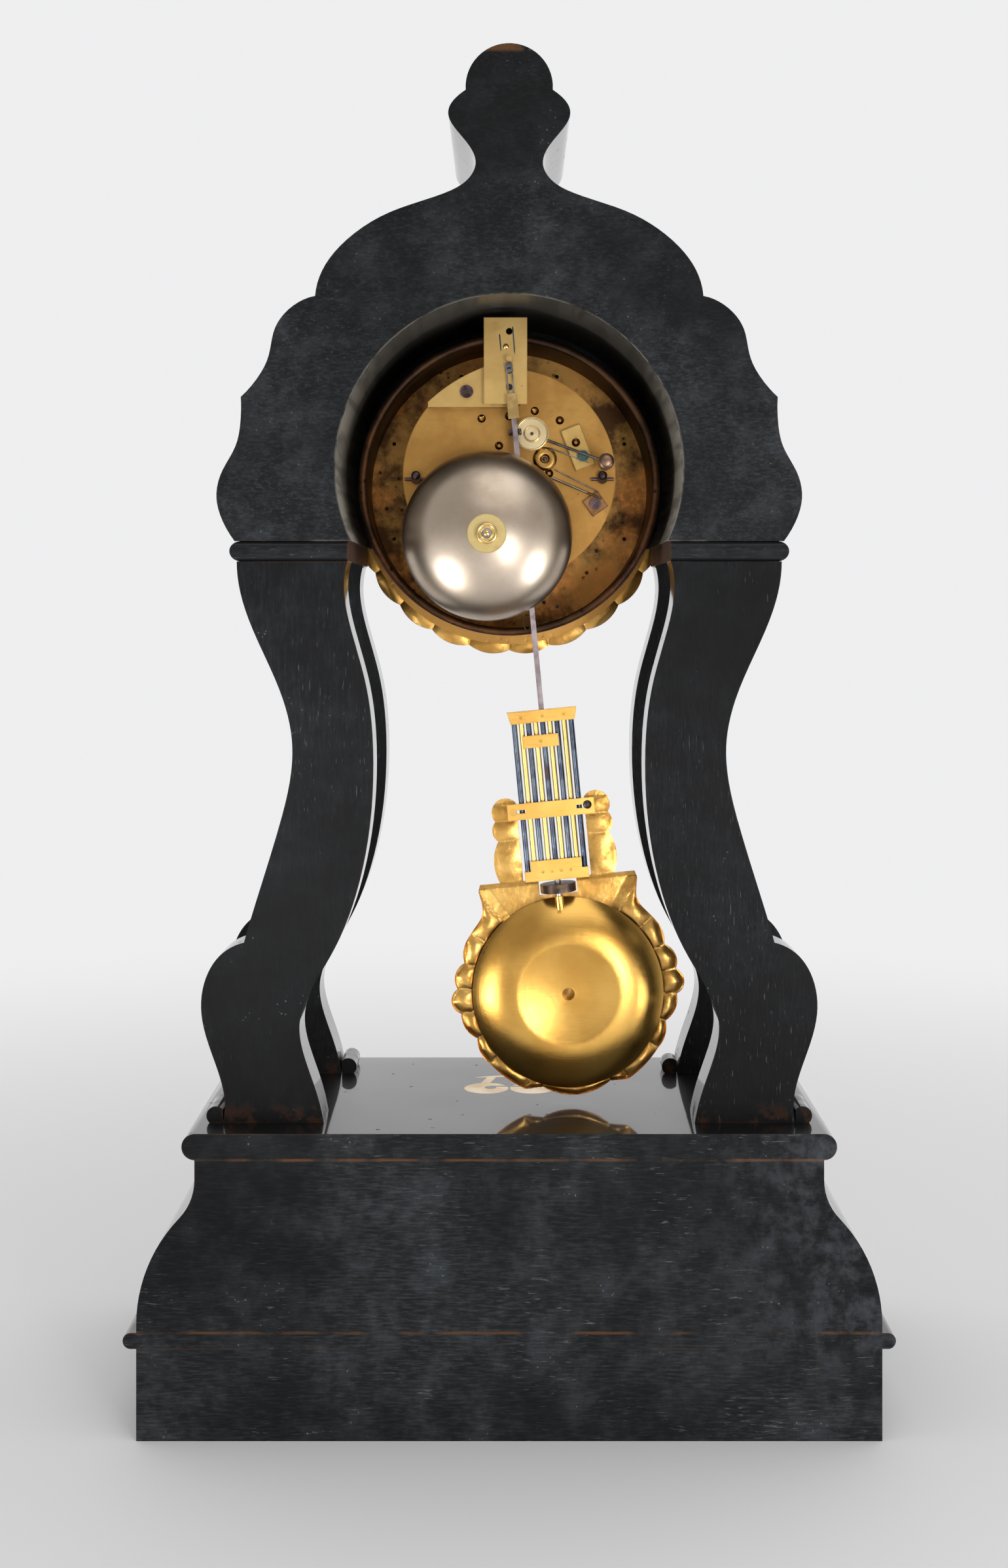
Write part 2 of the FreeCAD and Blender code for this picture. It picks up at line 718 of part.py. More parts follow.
# Drum: tube, front flange and the sight ring that slopes in to the dial, with the hinge knuckles
hinge_x = BEZEL_R + LEAF_RISE + KNUCKLE_R
hinge_depth = BEZEL_BACK + HINGE_PIN_R
drum = turned(0, Z_AXIS, profile([
    (DRUM_R, DRUM_BACK), (DRUM_R, HEAD_FRONT), (FLANGE_R, HEAD_FRONT), (FLANGE_R, FLANGE_FRONT),
    (SIGHT_R + SIGHT_SLOPE, FLANGE_FRONT), (SIGHT_R, DIAL_FRONT), (SIGHT_R + DRUM_WALL, DIAL_FRONT),
    (SIGHT_R + SIGHT_SLOPE + DRUM_WALL, HEAD_FRONT - DRUM_WALL), (DRUM_R - DRUM_WALL, HEAD_FRONT - DRUM_WALL),
    (DRUM_R - DRUM_WALL, DRUM_BACK)]))
knuckle_end = 1.5 * KNUCKLE_LEN


def knuckle(low, length):
    return Part.makeCylinder(KNUCKLE_R, length, V(hinge_x, back(hinge_depth), Z_AXIS + low))


def hinge_leaf(reach, low, length, near, far):
    return block(reach, hinge_x, Z_AXIS + low, Z_AXIS + low + length, near, far)


fixed = []
for low in (-knuckle_end, knuckle_end - KNUCKLE_LEN):
    fixed.append(knuckle(low, KNUCKLE_LEN - RUN_GAP))
    fixed.append(hinge_leaf(FLANGE_R - FLANGE_T, low, KNUCKLE_LEN - RUN_GAP, HEAD_FRONT, FLANGE_FRONT))
pin_bore = Part.makeCylinder(HINGE_PIN_R + PIVOT_PLAY, 4 * KNUCKLE_LEN,
                             V(hinge_x, back(hinge_depth), Z_AXIS - 2 * KNUCKLE_LEN))


def hinge_room(far):
    """Room round the hinge that reaches from behind the front board up to a depth."""
    return block(hinge_x - HINGE_ROOM, hinge_x + HINGE_ROOM, Z_AXIS - HINGE_ROOM, Z_AXIS + HINGE_ROOM,
                 HEAD_FRONT - HINGE_ROOM, far)


behind_panel = hinge_room(HEAD_FRONT)
save("drum", union(drum, *[piece.cut(behind_panel).cut(pin_bore) for piece in fixed]))
save("hinge_pin", Part.makeCylinder(HINGE_PIN_R, 2 * knuckle_end,
                                    V(hinge_x, back(hinge_depth), Z_AXIS - knuckle_end)))

# Rear ring of the drum: a beaded rim that caps the tube
ring_in = DRUM_R - DRUM_WALL - RING_IN
ring_mid = (ring_in + RING_R) / 2
save("drum_ring", turned(0, Z_AXIS, [
    straight((ring_in, DRUM_BACK), (RING_R, DRUM_BACK)),
    bend((RING_R, DRUM_BACK), (ring_mid, DRUM_BACK - RING_T), (ring_in, DRUM_BACK))]))

# Movement plates, with an ear at the top for the pallet arbor and oil sinks round the pivots
pallet = (0.0, PIVOT_RISE)


def plate_blank(near):
    ear = rod(0, Z_PIVOT, near, near + PLATE_T, EAR_R)
    return rod(0, Z_PLATE, near, near + PLATE_T, PLATE_R).fuse(ear).removeSplitter()


def pillar_place(pillar):
    return pillar[0], Z_PLATE + pillar[1]


def cut_all(shape, tools):
    return shape.cut(Part.makeCompound(tools))


back_holes = [rod(*place(a), PLATE_BACK - 1, PLATE_IN + 1, PIVOT_R + PIVOT_PLAY) for a in TRAIN + (HAMMER,)]
back_holes += [rod(*place(a), PLATE_BACK - 1, PLATE_IN + 1, WINDING_R - WINDING_STEP + PIVOT_PLAY)
               for a in BARRELS]
back_holes += [rod(*pillar_place(p), PLATE_BACK - 1, PLATE_IN + 1, PILLAR_STUB_R) for p in PILLARS]
back_holes += [rod(*place(a), PLATE_BACK - 1, PLATE_IN + 1, ARBOR_R + RUN_GAP) for a in (pallet, PIN_WHEEL)]
for seat in TRAIN + SPARE_SINKS:
    x, z = place(seat)
    back_holes.append(Part.makeSphere(SINK_R, V(x, back(PLATE_BACK - SINK_OUT), z)))
save("back_plate", cut_all(plate_blank(PLATE_BACK), back_holes))

front_holes = [rod(*place(a), FRONT_IN - 1, FRONT_OUT + 1, PIVOT_R + PIVOT_PLAY)
               for a in TRAIN[1:] + (pallet, PIN_WHEEL, HAMMER)]
front_holes += [rod(*place(a), FRONT_IN - 1, FRONT_OUT + 1, WINDING_R + PIVOT_PLAY) for a in BARRELS]
front_holes.append(rod(*place(CENTRE), FRONT_IN - 1, FRONT_OUT + 1, CENTRE_R + PIVOT_PLAY))
front_holes += [rod(*pillar_place(p), FRONT_IN - 1, FRONT_OUT + 1, PILLAR_STUB_R) for p in PILLARS]
minute_post = rod(*place(MINUTE_STUD), FRONT_OUT - 1, DIAL_BACK - 1, PIVOT_R)
save("front_plate", cut_all(plate_blank(FRONT_IN), front_holes).fuse(minute_post))

pillars = []
for pillar in PILLARS:
    x, z = pillar_place(pillar)
    body = rod(x, z, PLATE_IN, FRONT_IN, PILLAR_R)
    stub_near = PLATE_BACK - STUB_LEN if pillar in PINNED_PILLARS else PLATE_BACK
    stub = rod(x, z, stub_near, FRONT_OUT, PILLAR_STUB_R)
    cross_start = V(x - PIN_LEN / 2, back(PLATE_BACK - STUB_LEN / 2), z)
    cross = Part.makeCylinder(PIN_R, PIN_LEN, cross_start, V(1, 0, 0))
    pillars.append(union(body, stub).cut(cross))
save("pillars", *pillars)

# Dial plate: the disc that closes the drum behind the dial, open in the middle for the motion work
dial_plate = tube(0, Z_AXIS, FRONT_OUT, DIAL_PLATE_FRONT, DRUM_R - DRUM_WALL - RUN_GAP / 2, MOTION_HOLE_R)
plate_holes = [rod(*place(a), FRONT_OUT - 1, DIAL_PLATE_FRONT + 1, WINDING_R + COLLAR_OUT) for a in BARRELS]
small_hole_r = (DIAL_R - DIAL_FOOT_IN + DRUM_R) / 2
for i in range(SMALL_HOLES):
    turn = 2 * pi * (i + 0.5) / SMALL_HOLES
    x, z = small_hole_r * cos(turn), Z_AXIS + small_hole_r * sin(turn)
    plate_holes.append(rod(x, z, FRONT_OUT - 1, DIAL_PLATE_FRONT + 1, SMALL_HOLE_R))
save("dial_plate", cut_all(dial_plate, plate_holes))

# Dial: enamelled disc on three copper feet, with two winding holes
foot_r = DIAL_R - DIAL_FOOT_IN
feet = []
for degree in (90, 210, 330):
    x, z = foot_r * cos(radians(degree)), Z_AXIS + foot_r * sin(radians(degree))
    feet.append(rod(x, z, DIAL_PLATE_FRONT, DIAL_BACK, DIAL_FOOT_R))
dial_holes = [rod(*place(a), DIAL_BACK - 1, DIAL_FRONT + 1, WINDING_R + WINDING_HOLE_PLAY) for a in BARRELS]
dial_holes.append(rod(0, Z_AXIS, DIAL_BACK - 1, DIAL_FRONT + 1, HOUR_PIPE_R + RUN_GAP))
dial_face = cut_all(rod(0, Z_AXIS, DIAL_BACK, DIAL_FRONT, DIAL_R), dial_holes)
save("dial", union(dial_face, *feet))

# Bezel: turned ring with a border of small leaves, hinged at the right, and its glass
bezel_front = BEZEL_BACK + BEZEL_H
lip_depth = bezel_front - BEZEL_LIP_T
bezel_foot = BEZEL_R - BEZEL_FOOT_IN
seat_r = GLASS_R + RUN_GAP
ring = turned(0, Z_AXIS, [
    straight((seat_r, BEZEL_BACK), (bezel_foot, BEZEL_BACK)),
    bend((bezel_foot, BEZEL_BACK), (bezel_foot - BEZEL_ROUND, bezel_front - BEZEL_ROUND),
         (GLASS_R + BEZEL_LIP, bezel_front)),
    straight((GLASS_R + BEZEL_LIP, bezel_front), (GLASS_R - BEZEL_LIP, bezel_front)),
    straight((GLASS_R - BEZEL_LIP, bezel_front), (GLASS_R - BEZEL_LIP, lip_depth)),
    straight((GLASS_R - BEZEL_LIP, lip_depth), (seat_r, lip_depth)),
    straight((seat_r, lip_depth), (seat_r, BEZEL_BACK))])


def lobed_circle(x, z, r, rise, count):
    """Closed outline of round lobes on a circle, an arc for each lobe."""
    step = 2 * pi / count
    edges = []
    for i in range(count):
        ends = [i * step, (i + 0.5) * step, (i + 1) * step]
        radii = [r, r + rise, r]
        edges.append(arc(*[(x + q * cos(a), z + q * sin(a)) for q, a in zip(radii, ends)]))
    return edges


leaf_front = BEZEL_BACK + BEZEL_LEAF_T
leaves = plate(lobed_circle(0, Z_AXIS, BEZEL_R, LEAF_RISE, BEZEL_LEAVES), BEZEL_BACK, leaf_front)
leaves = leaves.cut(rod(0, Z_AXIS, BEZEL_BACK - 1, bezel_front, BEZEL_R - BEZEL_LEAF_IN))
half_knuckle = KNUCKLE_LEN / 2
moving = [knuckle(-half_knuckle, KNUCKLE_LEN - RUN_GAP),
          hinge_leaf(bezel_foot, -half_knuckle, KNUCKLE_LEN - RUN_GAP, BEZEL_BACK, leaf_front)]
behind_bezel = hinge_room(HEAD_FRONT + RUN_GAP)
fixed_room = []
for low in (-knuckle_end, knuckle_end - KNUCKLE_LEN):
    fixed_room.append(block(hinge_x - 2 * KNUCKLE_R, hinge_x + HINGE_ROOM, Z_AXIS + low - RUN_GAP,
                            Z_AXIS + low + KNUCKLE_LEN, FLANGE_FRONT, BEZEL_BACK + 2 * KNUCKLE_R))
bezel = union(cut_all(leaves, fixed_room), cut_all(ring, fixed_room))
save("bezel", union(bezel, *[piece.cut(pin_bore).cut(behind_bezel) for piece in moving]))
save("bezel_glass", rod(0, Z_AXIS, lip_depth - GLASS_T, lip_depth, GLASS_R))

# Going train. The great wheel is part of the barrel; each other wheel carries its pinion and arbor.
great_near = FRONT_IN - GREAT_SETBACK
great_far = great_near + GREAT_T
barrel_near = great_near - BARREL_L
centre_near = FRONT_IN - CENTRE_SETBACK
third_near = FRONT_IN - THIRD_SETBACK
second_near = PLATE_IN + SECOND_LAYER
strike_near = PLATE_IN + STRIKE_LAYER
hand_end = DIAL_FRONT + HAND_REACH


def barrel_solid(arbor, teeth, module, phase):
    x, z = place(arbor)
    body = rod(x, z, barrel_near, great_near, BARREL_R)
    wheel = gear(arbor, teeth, module, great_near, great_far, phase)
    return union(body, wheel).cut(rod(x, z, barrel_near - 1, great_far + 1, WINDING_R + PIVOT_PLAY))


def winding_arbor(arbor):
    x, z = place(arbor)
    square_near = DIAL_PLATE_FRONT + COLLAR_OUT
    half = WINDING_R * WINDING_SQUARE
    collar_far = barrel_near - RUN_GAP
    collar_near = collar_far - COLLAR_T
    body = rod(x, z, collar_near, square_near, WINDING_R)
    rear = rod(x, z, PLATE_BACK, collar_near, WINDING_R - WINDING_STEP)
    collar = rod(x, z, collar_near, collar_far, WINDING_R + COLLAR_OUT)
    square = block(x - half, x + half, z - half, z + half, square_near, DIAL_FRONT + WINDING_OUT)
    return union(body, rear, square, collar)


def pinion(arbor, teeth, module, near, phase, length=WHEEL_T):
    """Small driven wheel, a little longer than the wheel that drives it."""
    return gear(arbor, teeth, module, near - PINION_OVER, near + length + PINION_OVER, phase)


going_module = mesh_module(GOING_BARREL, GOING_SECOND, GREAT_TEETH, LEAVES)
going_phase = 0.0
save("going_barrel", barrel_solid(GOING_BARREL, GREAT_TEETH, going_module, going_phase))
save("going_winding_arbor", winding_arbor(GOING_BARREL))

centre_module = mesh_module(GOING_SECOND, CENTRE, SECOND_TEETH, LEAVES)
second_phase = gear_phase(GOING_BARREL, GOING_SECOND, GREAT_TEETH, LEAVES, going_phase)
save("going_second_wheel", union(
    arbor_rod(GOING_SECOND), pinion(GOING_SECOND, LEAVES, going_module, great_near, second_phase, GREAT_T),
    gear(GOING_SECOND, SECOND_TEETH, centre_module, second_near, second_near + WHEEL_T, second_phase)))

centre_phase = gear_phase(GOING_SECOND, CENTRE, SECOND_TEETH, LEAVES, second_phase)
third_module = mesh_module(CENTRE, THIRD, CENTRE_TEETH, FINE_LEAVES)
centre_x, centre_z = place(CENTRE)
centre_arbor = union(rod(centre_x, centre_z, PLATE_BACK + RUN_GAP, PLATE_IN + RUN_GAP, PIVOT_R),
                     rod(centre_x, centre_z, PLATE_IN + RUN_GAP, hand_end, CENTRE_R))
save("centre_wheel", union(
    centre_arbor, pinion(CENTRE, LEAVES, centre_module, second_near, centre_phase),
    gear(CENTRE, CENTRE_TEETH, third_module, centre_near, centre_near + WHEEL_T, centre_phase)))

third_phase = gear_phase(CENTRE, THIRD, CENTRE_TEETH, FINE_LEAVES, centre_phase)
escape_module = mesh_module(THIRD, ESCAPE, THIRD_TEETH, FINE_LEAVES)
save("third_wheel", union(
    arbor_rod(THIRD, FINE_ARBOR_R),
    pinion(THIRD, FINE_LEAVES, third_module, centre_near, third_phase, FINE_PINION_L),
    gear(THIRD, THIRD_TEETH, escape_module, third_near, third_near + WHEEL_T, third_phase)))

# Escape wheel with pointed, leaning teeth
escape_phase = gear_phase(THIRD, ESCAPE, THIRD_TEETH, FINE_LEAVES, third_phase)
escape_near = FRONT_IN - ESCAPE_SETBACK
escape_x, escape_z = place(ESCAPE)
escape_step = 2 * pi / ESCAPE_TEETH
points = []
for tooth in range(ESCAPE_TEETH):
    for r, share in ((ESCAPE_R - ESCAPE_TOOTH, 0.0), (ESCAPE_R, 0.75), (ESCAPE_R - ESCAPE_TOOTH, 0.95)):
        angle = (tooth + share) * escape_step
        points.append((escape_x + r * cos(angle), escape_z + r * sin(angle)))
save("escape_wheel", union(
    arbor_rod(ESCAPE, FINE_ARBOR_R), pinion(ESCAPE, FINE_LEAVES, escape_module, third_near, escape_phase),
    plate(loop(points), escape_near, escape_near + WHEEL_T)))


# Anchor and crutch rock with the pendulum, so both are built hanging straight and then swung
def swung(shape):
    turned_shape = shape.copy()
    turned_shape.rotate(V(0, 0, Z_PIVOT), V(0, 1, 0), SWING)
    return turned_shape


anchor_in = ESCAPE_R + PALLET_GAP
anchor_out = anchor_in + ANCHOR_W
spread = radians(ANCHOR_SPREAD)


def on_escape(r, angle):
    return escape_x + r * sin(angle), escape_z + r * cos(angle)


anchor_edges = [arc(on_escape(anchor_in, -spread), on_escape(anchor_in, 0), on_escape(anchor_in, spread)),
                line(on_escape(anchor_in, spread), on_escape(anchor_out, spread)),
                arc(on_escape(anchor_out, spread), on_escape(anchor_out, 0), on_escape(anchor_out, -spread)),
                line(on_escape(anchor_out, -spread), on_escape(anchor_in, -spread))]
crutch_near = PENDULUM_DEPTH + BRACKET_T + CRUTCH_GAP
hub_r = PIVOT_RISE - ESCAPE[1] - anchor_out + ANCHOR_W / 2
anchor_hub = rod(0, Z_PIVOT, escape_near - PINION_OVER, escape_near + ANCHOR_T + PINION_OVER, hub_r)
pallet_arbor = union(rod(0, Z_PIVOT, crutch_near, FRONT_IN - RUN_GAP, PALLET_ARBOR_R),
                     rod(0, Z_PIVOT, FRONT_IN - RUN_GAP, FRONT_OUT - RUN_GAP, PIVOT_R))
anchor_arms = plate(anchor_edges, escape_near, escape_near + ANCHOR_T)
save("anchor", swung(union(anchor_arms, anchor_hub, pallet_arbor)))

fork_z = Z_PIVOT - CRUTCH_LEN
fork_half = ROD_W / 2 + RUN_GAP + PIN_R
crutch_far = crutch_near + CRUTCH_T
crutch_arm = block(-CRUTCH_HALF, CRUTCH_HALF, fork_z, Z_PIVOT, crutch_near, crutch_far)
crutch_eye = rod(0, Z_PIVOT, crutch_near, crutch_far, CRUTCH_EYE_R)
foot_half = fork_half + PIN_R
crutch_foot = block(-foot_half, foot_half, fork_z - CRUTCH_FOOT_H / 2, fork_z + CRUTCH_FOOT_H / 2,
                    crutch_near, crutch_far)
tines = [rod(side * fork_half, fork_z, PENDULUM_DEPTH - BRACKET_BACK, crutch_near, PIN_R) for side in (-1, 1)]
crutch = union(crutch_arm, crutch_eye, crutch_foot, *tines)
save("crutch", swung(crutch.cut(rod(0, Z_PIVOT, crutch_near - 1, crutch_far + 1, PALLET_ARBOR_R))))

# Strike train
strike_module = mesh_module(STRIKE_BARREL, STRIKE_SECOND, GREAT_TEETH, LEAVES)
strike_phase = 0.0
save("strike_barrel", barrel_solid(STRIKE_BARREL, GREAT_TEETH, strike_module, strike_phase))
save("strike_winding_arbor", winding_arbor(STRIKE_BARREL))

strike_second_phase = gear_phase(STRIKE_BARREL, STRIKE_SECOND, GREAT_TEETH, LEAVES, strike_phase)
pin_module = mesh_module(STRIKE_SECOND, PIN_WHEEL, STRIKE_TEETH, LEAVES)
save("strike_second_wheel", union(
    arbor_rod(STRIKE_SECOND),
    pinion(STRIKE_SECOND, LEAVES, strike_module, great_near, strike_second_phase, GREAT_T),
    gear(STRIKE_SECOND, STRIKE_TEETH, pin_module, strike_near, strike_near + WHEEL_T, strike_second_phase)))

# Pin wheel: its lifting pins raise the hammer tail, and its rear pivot runs in the potence
pin_phase = gear_phase(STRIKE_SECOND, PIN_WHEEL, STRIKE_TEETH, LEAVES, strike_second_phase)
fly_module = mesh_module(PIN_WHEEL, FLY, PIN_TEETH, FINE_LEAVES)
pin_near = PLATE_IN + PIN_LAYER
pin_x, pin_z = place(PIN_WHEEL)
lift_r = 0.36 * PIN_TEETH * fly_module
lift_pins = []
for i in range(LIFT_PINS):
    turn = 2 * pi * i / LIFT_PINS
    x, z = pin_x + lift_r * cos(turn), pin_z + lift_r * sin(turn)
    lift_pins.append(rod(x, z, pin_near, pin_near + LIFT_PIN_LEN, LIFT_PIN_R))
potence_near = PLATE_BACK - POTENCE_T
pin_arbor = union(rod(pin_x, pin_z, PLATE_BACK, FRONT_IN - RUN_GAP, ARBOR_R),
                  rod(pin_x, pin_z, potence_near + RUN_GAP, FRONT_OUT - RUN_GAP, PIVOT_R))
save("pin_wheel", union(
    pin_arbor, pinion(PIN_WHEEL, LEAVES, pin_module, strike_near, pin_phase),
    gear(PIN_WHEEL, PIN_TEETH, fly_module, pin_near, pin_near + WHEEL_T, pin_phase), *lift_pins))

fly_phase = gear_phase(PIN_WHEEL, FLY, PIN_TEETH, FINE_LEAVES, pin_phase)
fly_x, fly_z = place(FLY)
blade_near = PLATE_IN + FLY_LAYER
blade = block(fly_x - FLY_HALF, fly_x + FLY_HALF, fly_z - FLY_T / 2, fly_z + FLY_T / 2, blade_near,
              blade_near + FLY_L)
fly_pinion = pinion(FLY, FINE_LEAVES, fly_module, pin_near, fly_phase)
save("fly", union(arbor_rod(FLY, FINE_ARBOR_R), fly_pinion, blade))

# Motion work: cannon pinion on the centre arbor, minute wheel on its stud, hour wheel on the cannon
motion_module = mesh_module(CENTRE, MINUTE_STUD, MOTION_LEAVES, MINUTE_TEETH)
motion_near = FRONT_OUT + MOTION_LAYER
hour_near = FRONT_OUT + HOUR_LAYER
hour_hand_near = DIAL_FRONT + HOUR_HAND_LIFT
minute_hand_near = hand_end - MINUTE_HAND_BACK
cannon_end = minute_hand_near + HAND_HUB_T + PINION_OVER
cannon = union(rod(centre_x, centre_z, FRONT_OUT + RUN_GAP, cannon_end, CANNON_R),
               pinion(CENTRE, MOTION_LEAVES, motion_module, motion_near, 0.0))
save("cannon_pinion", cannon.cut(rod(centre_x, centre_z, FRONT_OUT - 1, hand_end, CENTRE_R)))
minute_phase = gear_phase(CENTRE, MINUTE_STUD, MOTION_LEAVES, MINUTE_TEETH, 0.0)
minute_far = hour_near + WHEEL_T + MOTION_LAYER / 2
minute_wheel = union(
    gear(MINUTE_STUD, MINUTE_TEETH, motion_module, motion_near, motion_near + WHEEL_T, minute_phase),
    gear(MINUTE_STUD, MINUTE_LEAVES, motion_module, motion_near + WHEEL_T, minute_far, minute_phase))
save("minute_wheel", minute_wheel.cut(rod(*place(MINUTE_STUD), FRONT_OUT, DIAL_BACK, PIVOT_R + PIVOT_PLAY)))
hour_phase = gear_phase(MINUTE_STUD, CENTRE, MINUTE_LEAVES, HOUR_TEETH, minute_phase)
hour_pipe_end = hour_hand_near + HAND_HUB_T
hour_wheel = union(gear(CENTRE, HOUR_TEETH, motion_module, hour_near, hour_near + WHEEL_T, hour_phase),
                   rod(centre_x, centre_z, hour_near, hour_pipe_end, HOUR_PIPE_R))
pipe_bore = rod(centre_x, centre_z, hour_near - 1, hour_pipe_end + 1, CANNON_R + PIVOT_PLAY)
save("hour_wheel", hour_wheel.cut(pipe_bore))


# Hands: tapered blades with a pierced ring towards the tip
def hand(length, ring_r, near, bore, clock_angle):
    ring_z = Z_AXIS + length * HAND_EYE_AT
    tip = Z_AXIS + length
    far = near + HAND_T
    foot, neck, point = 0.45 * ring_r, 0.25 * ring_r, 0.1 * ring_r
    blade = plate(loop([(-foot, Z_AXIS), (foot, Z_AXIS), (neck, ring_z), (-neck, ring_z)]), near, far)
    spear = plate(loop([(-foot, ring_z), (foot, ring_z), (point, tip), (-point, tip)]), near, far)
    hub = rod(0, Z_AXIS, near, near + HAND_HUB_T, bore + HAND_HUB_OUT)
    eye = rod(0, ring_z, near - 1, far + 1, ring_r - HAND_RIM)
    solid = union(blade, spear, rod(0, ring_z, near, far, ring_r), hub).cut(eye)
    solid = solid.cut(rod(0, Z_AXIS, near - 1, near + HAND_HUB_T + 1, bore))
    solid.rotate(V(0, 0, Z_AXIS), V(0, 1, 0), clock_angle)
    return solid


save("hour_hand", hand(HOUR_SHARE * SIGHT_R, HOUR_EYE_R, hour_hand_near, HOUR_PIPE_R, HOUR_ANGLE))
save("minute_hand", hand(MINUTE_SHARE * SIGHT_R, MINUTE_EYE_R, minute_hand_near, CANNON_R, MINUTE_ANGLE))

# Cock that holds the rear pivot of the pallet arbor, footed on the back plate
cock_far = PLATE_BACK - COCK_GAP
cock_near = cock_far - COCK_T
cock_low = Z_PLATE + COCK_LOW
cock_corner = (COCK_LEFT, Z_PIVOT + COCK_TOP_OVER)
cock_shoulder, cock_curve = [(x, Z_PLATE + z) for x, z in (COCK_SHOULDER, COCK_CURVE)]
cock_end = (COCK_RIGHT, cock_low + COCK_END_H)
cock_outline = [line((COCK_RIGHT, cock_low), (COCK_LEFT, cock_low)), line((COCK_LEFT, cock_low), cock_corner),
                line(cock_corner, cock_shoulder), arc(cock_shoulder, cock_curve, cock_end),
                line(cock_end, (COCK_RIGHT, cock_low))]
cock_foot = block(*COCK_FOOT, cock_low, cock_low + COCK_FOOT_H, cock_far, PLATE_BACK)
pivot_hole = rod(0, Z_PIVOT, cock_near - 1, cock_far + 1, PALLET_ARBOR_R + PIVOT_PLAY)
save("pallet_cock", union(plate(cock_outline, cock_near, cock_far), cock_foot).cut(pivot_hole))

# Suspension bracket: upright plate with two legs and the stud that the spring hangs on
bracket_near = PENDULUM_DEPTH + BRACKET_BACK
bracket_far = bracket_near + BRACKET_T
bracket_low = Z_PIVOT - BRACKET_DROP
bracket_top = Z_HEAD + ARCH_RISE + ARCH_R - BRACKET_TOP_GAP
left_edge, right_edge = BRACKET_SIDE - BRACKET_W / 2, BRACKET_SIDE + BRACKET_W / 2
bracket = block(left_edge, right_edge, bracket_low, bracket_top, bracket_near, bracket_far)
leg_top = bracket_low + BRACKET_LEG_H
leg = block(left_edge, left_edge + BRACKET_LEG_W, bracket_low, leg_top, bracket_far, PLATE_BACK)
cock_leg = block(right_edge - BRACKET_LEG_W, right_edge, bracket_low, leg_top, bracket_far, cock_near)
hanger = rod(0, Z_PIVOT + STUD_LOW + HANGER_R, bracket_near - HANGER_LEN, bracket_near, HANGER_R)
hole_z = bracket_low + BRACKET_HOLE_AT * (bracket_top - bracket_low)
bracket_holes = [rod(0, hole_z, bracket_near - 1, bracket_far + 1, BRACKET_HOLE_R),
                 rod(0, (bracket_low + Z_PIVOT) / 2, bracket_near - 1, bracket_far + 1, BRACKET_HOLE_R),
                 rod(0, Z_PIVOT, bracket_near - 1, bracket_far + 1, PALLET_ARBOR_R + PIVOT_R)]
save("suspension_bracket", cut_all(union(bracket, leg, cock_leg, hanger), bracket_holes))

# Potence: the leaning bridge over the rear pivot of the pin wheel
potence_middle = pin_z - POTENCE_DROP
potence = block(pin_x - POTENCE_W / 2, pin_x + POTENCE_W / 2, potence_middle - POTENCE_H / 2,
                potence_middle + POTENCE_H / 2, potence_near, PLATE_BACK)
potence.rotate(V(pin_x, 0, pin_z), V(0, 1, 0), POTENCE_LEAN)
potence_sink = Part.makeSphere(SINK_R, V(pin_x, back(potence_near - SINK_OUT), pin_z))
pin_pivot = rod(pin_x, pin_z, potence_near - 1, PLATE_BACK + 1, PIVOT_R + PIVOT_PLAY)
save("pin_wheel_potence", cut_all(potence, [pin_pivot, potence_sink]))

# Bell on its post, held by a washer and a nut
bell_x, bell_z = place(BELL)
bell_apex = BELL_MOUTH - BELL_DEPTH
inner_r = BELL_R - BELL_WALL
bore_r = POST_R + PIVOT_PLAY
bulge_r = BELL_BULGE_R * BELL_R
bulge_depth = bell_apex + BELL_BULGE_DROP * BELL_DEPTH
lean = BELL_WALL * sin(pi / 4)
bell_in = bell_apex + BELL_WALL
save("bell", turned(bell_x, bell_z, [
    straight((bore_r, bell_apex), (WASHER_R, bell_apex)),
    bend((WASHER_R, bell_apex), (bulge_r, bulge_depth), (BELL_R, BELL_MOUTH)),
    straight((BELL_R, BELL_MOUTH), (inner_r, BELL_MOUTH)),
    bend((inner_r, BELL_MOUTH), (bulge_r - lean, bulge_depth + lean), (WASHER_R, bell_in)),
    straight((WASHER_R, bell_in), (bore_r, bell_in)),
    straight((bore_r, bell_in), (bore_r, bell_apex))]))
nut_near = bell_apex - WASHER_T - NUT_T
post_shoulder = rod(bell_x, bell_z, bell_in, PLATE_BACK, POST_R + POST_SHOULDER)
save("bell_post", union(rod(bell_x, bell_z, nut_near - POST_END, PLATE_BACK, POST_R), post_shoulder))
washer = tube(bell_x, bell_z, bell_apex - WASHER_T, bell_apex, WASHER_R, POST_R)
nut = tube(bell_x, bell_z, nut_near, bell_apex - WASHER_T, NUT_R, POST_R)
save("bell_nut", washer, nut)

# Hammer: hub on its arbor, wire and head, with the tail that the lifting pins raise
hub_x, hub_z = place(HAMMER)
hub_far = PLATE_BACK - RUN_GAP - WIRE_R
hub_near = hub_far - HUB_T
head_depth = BELL_MOUTH - HAMMER_HEAD_L / 2
swing_angle = radians(HAMMER_ANGLE)


def along_wire(r, depth):
    return V(hub_x + r * cos(swing_angle), back(depth), hub_z + r * sin(swing_angle))


def wire(start, end, r):
    return Part.makeCylinder(r, (end - start).Length, start, end - start)


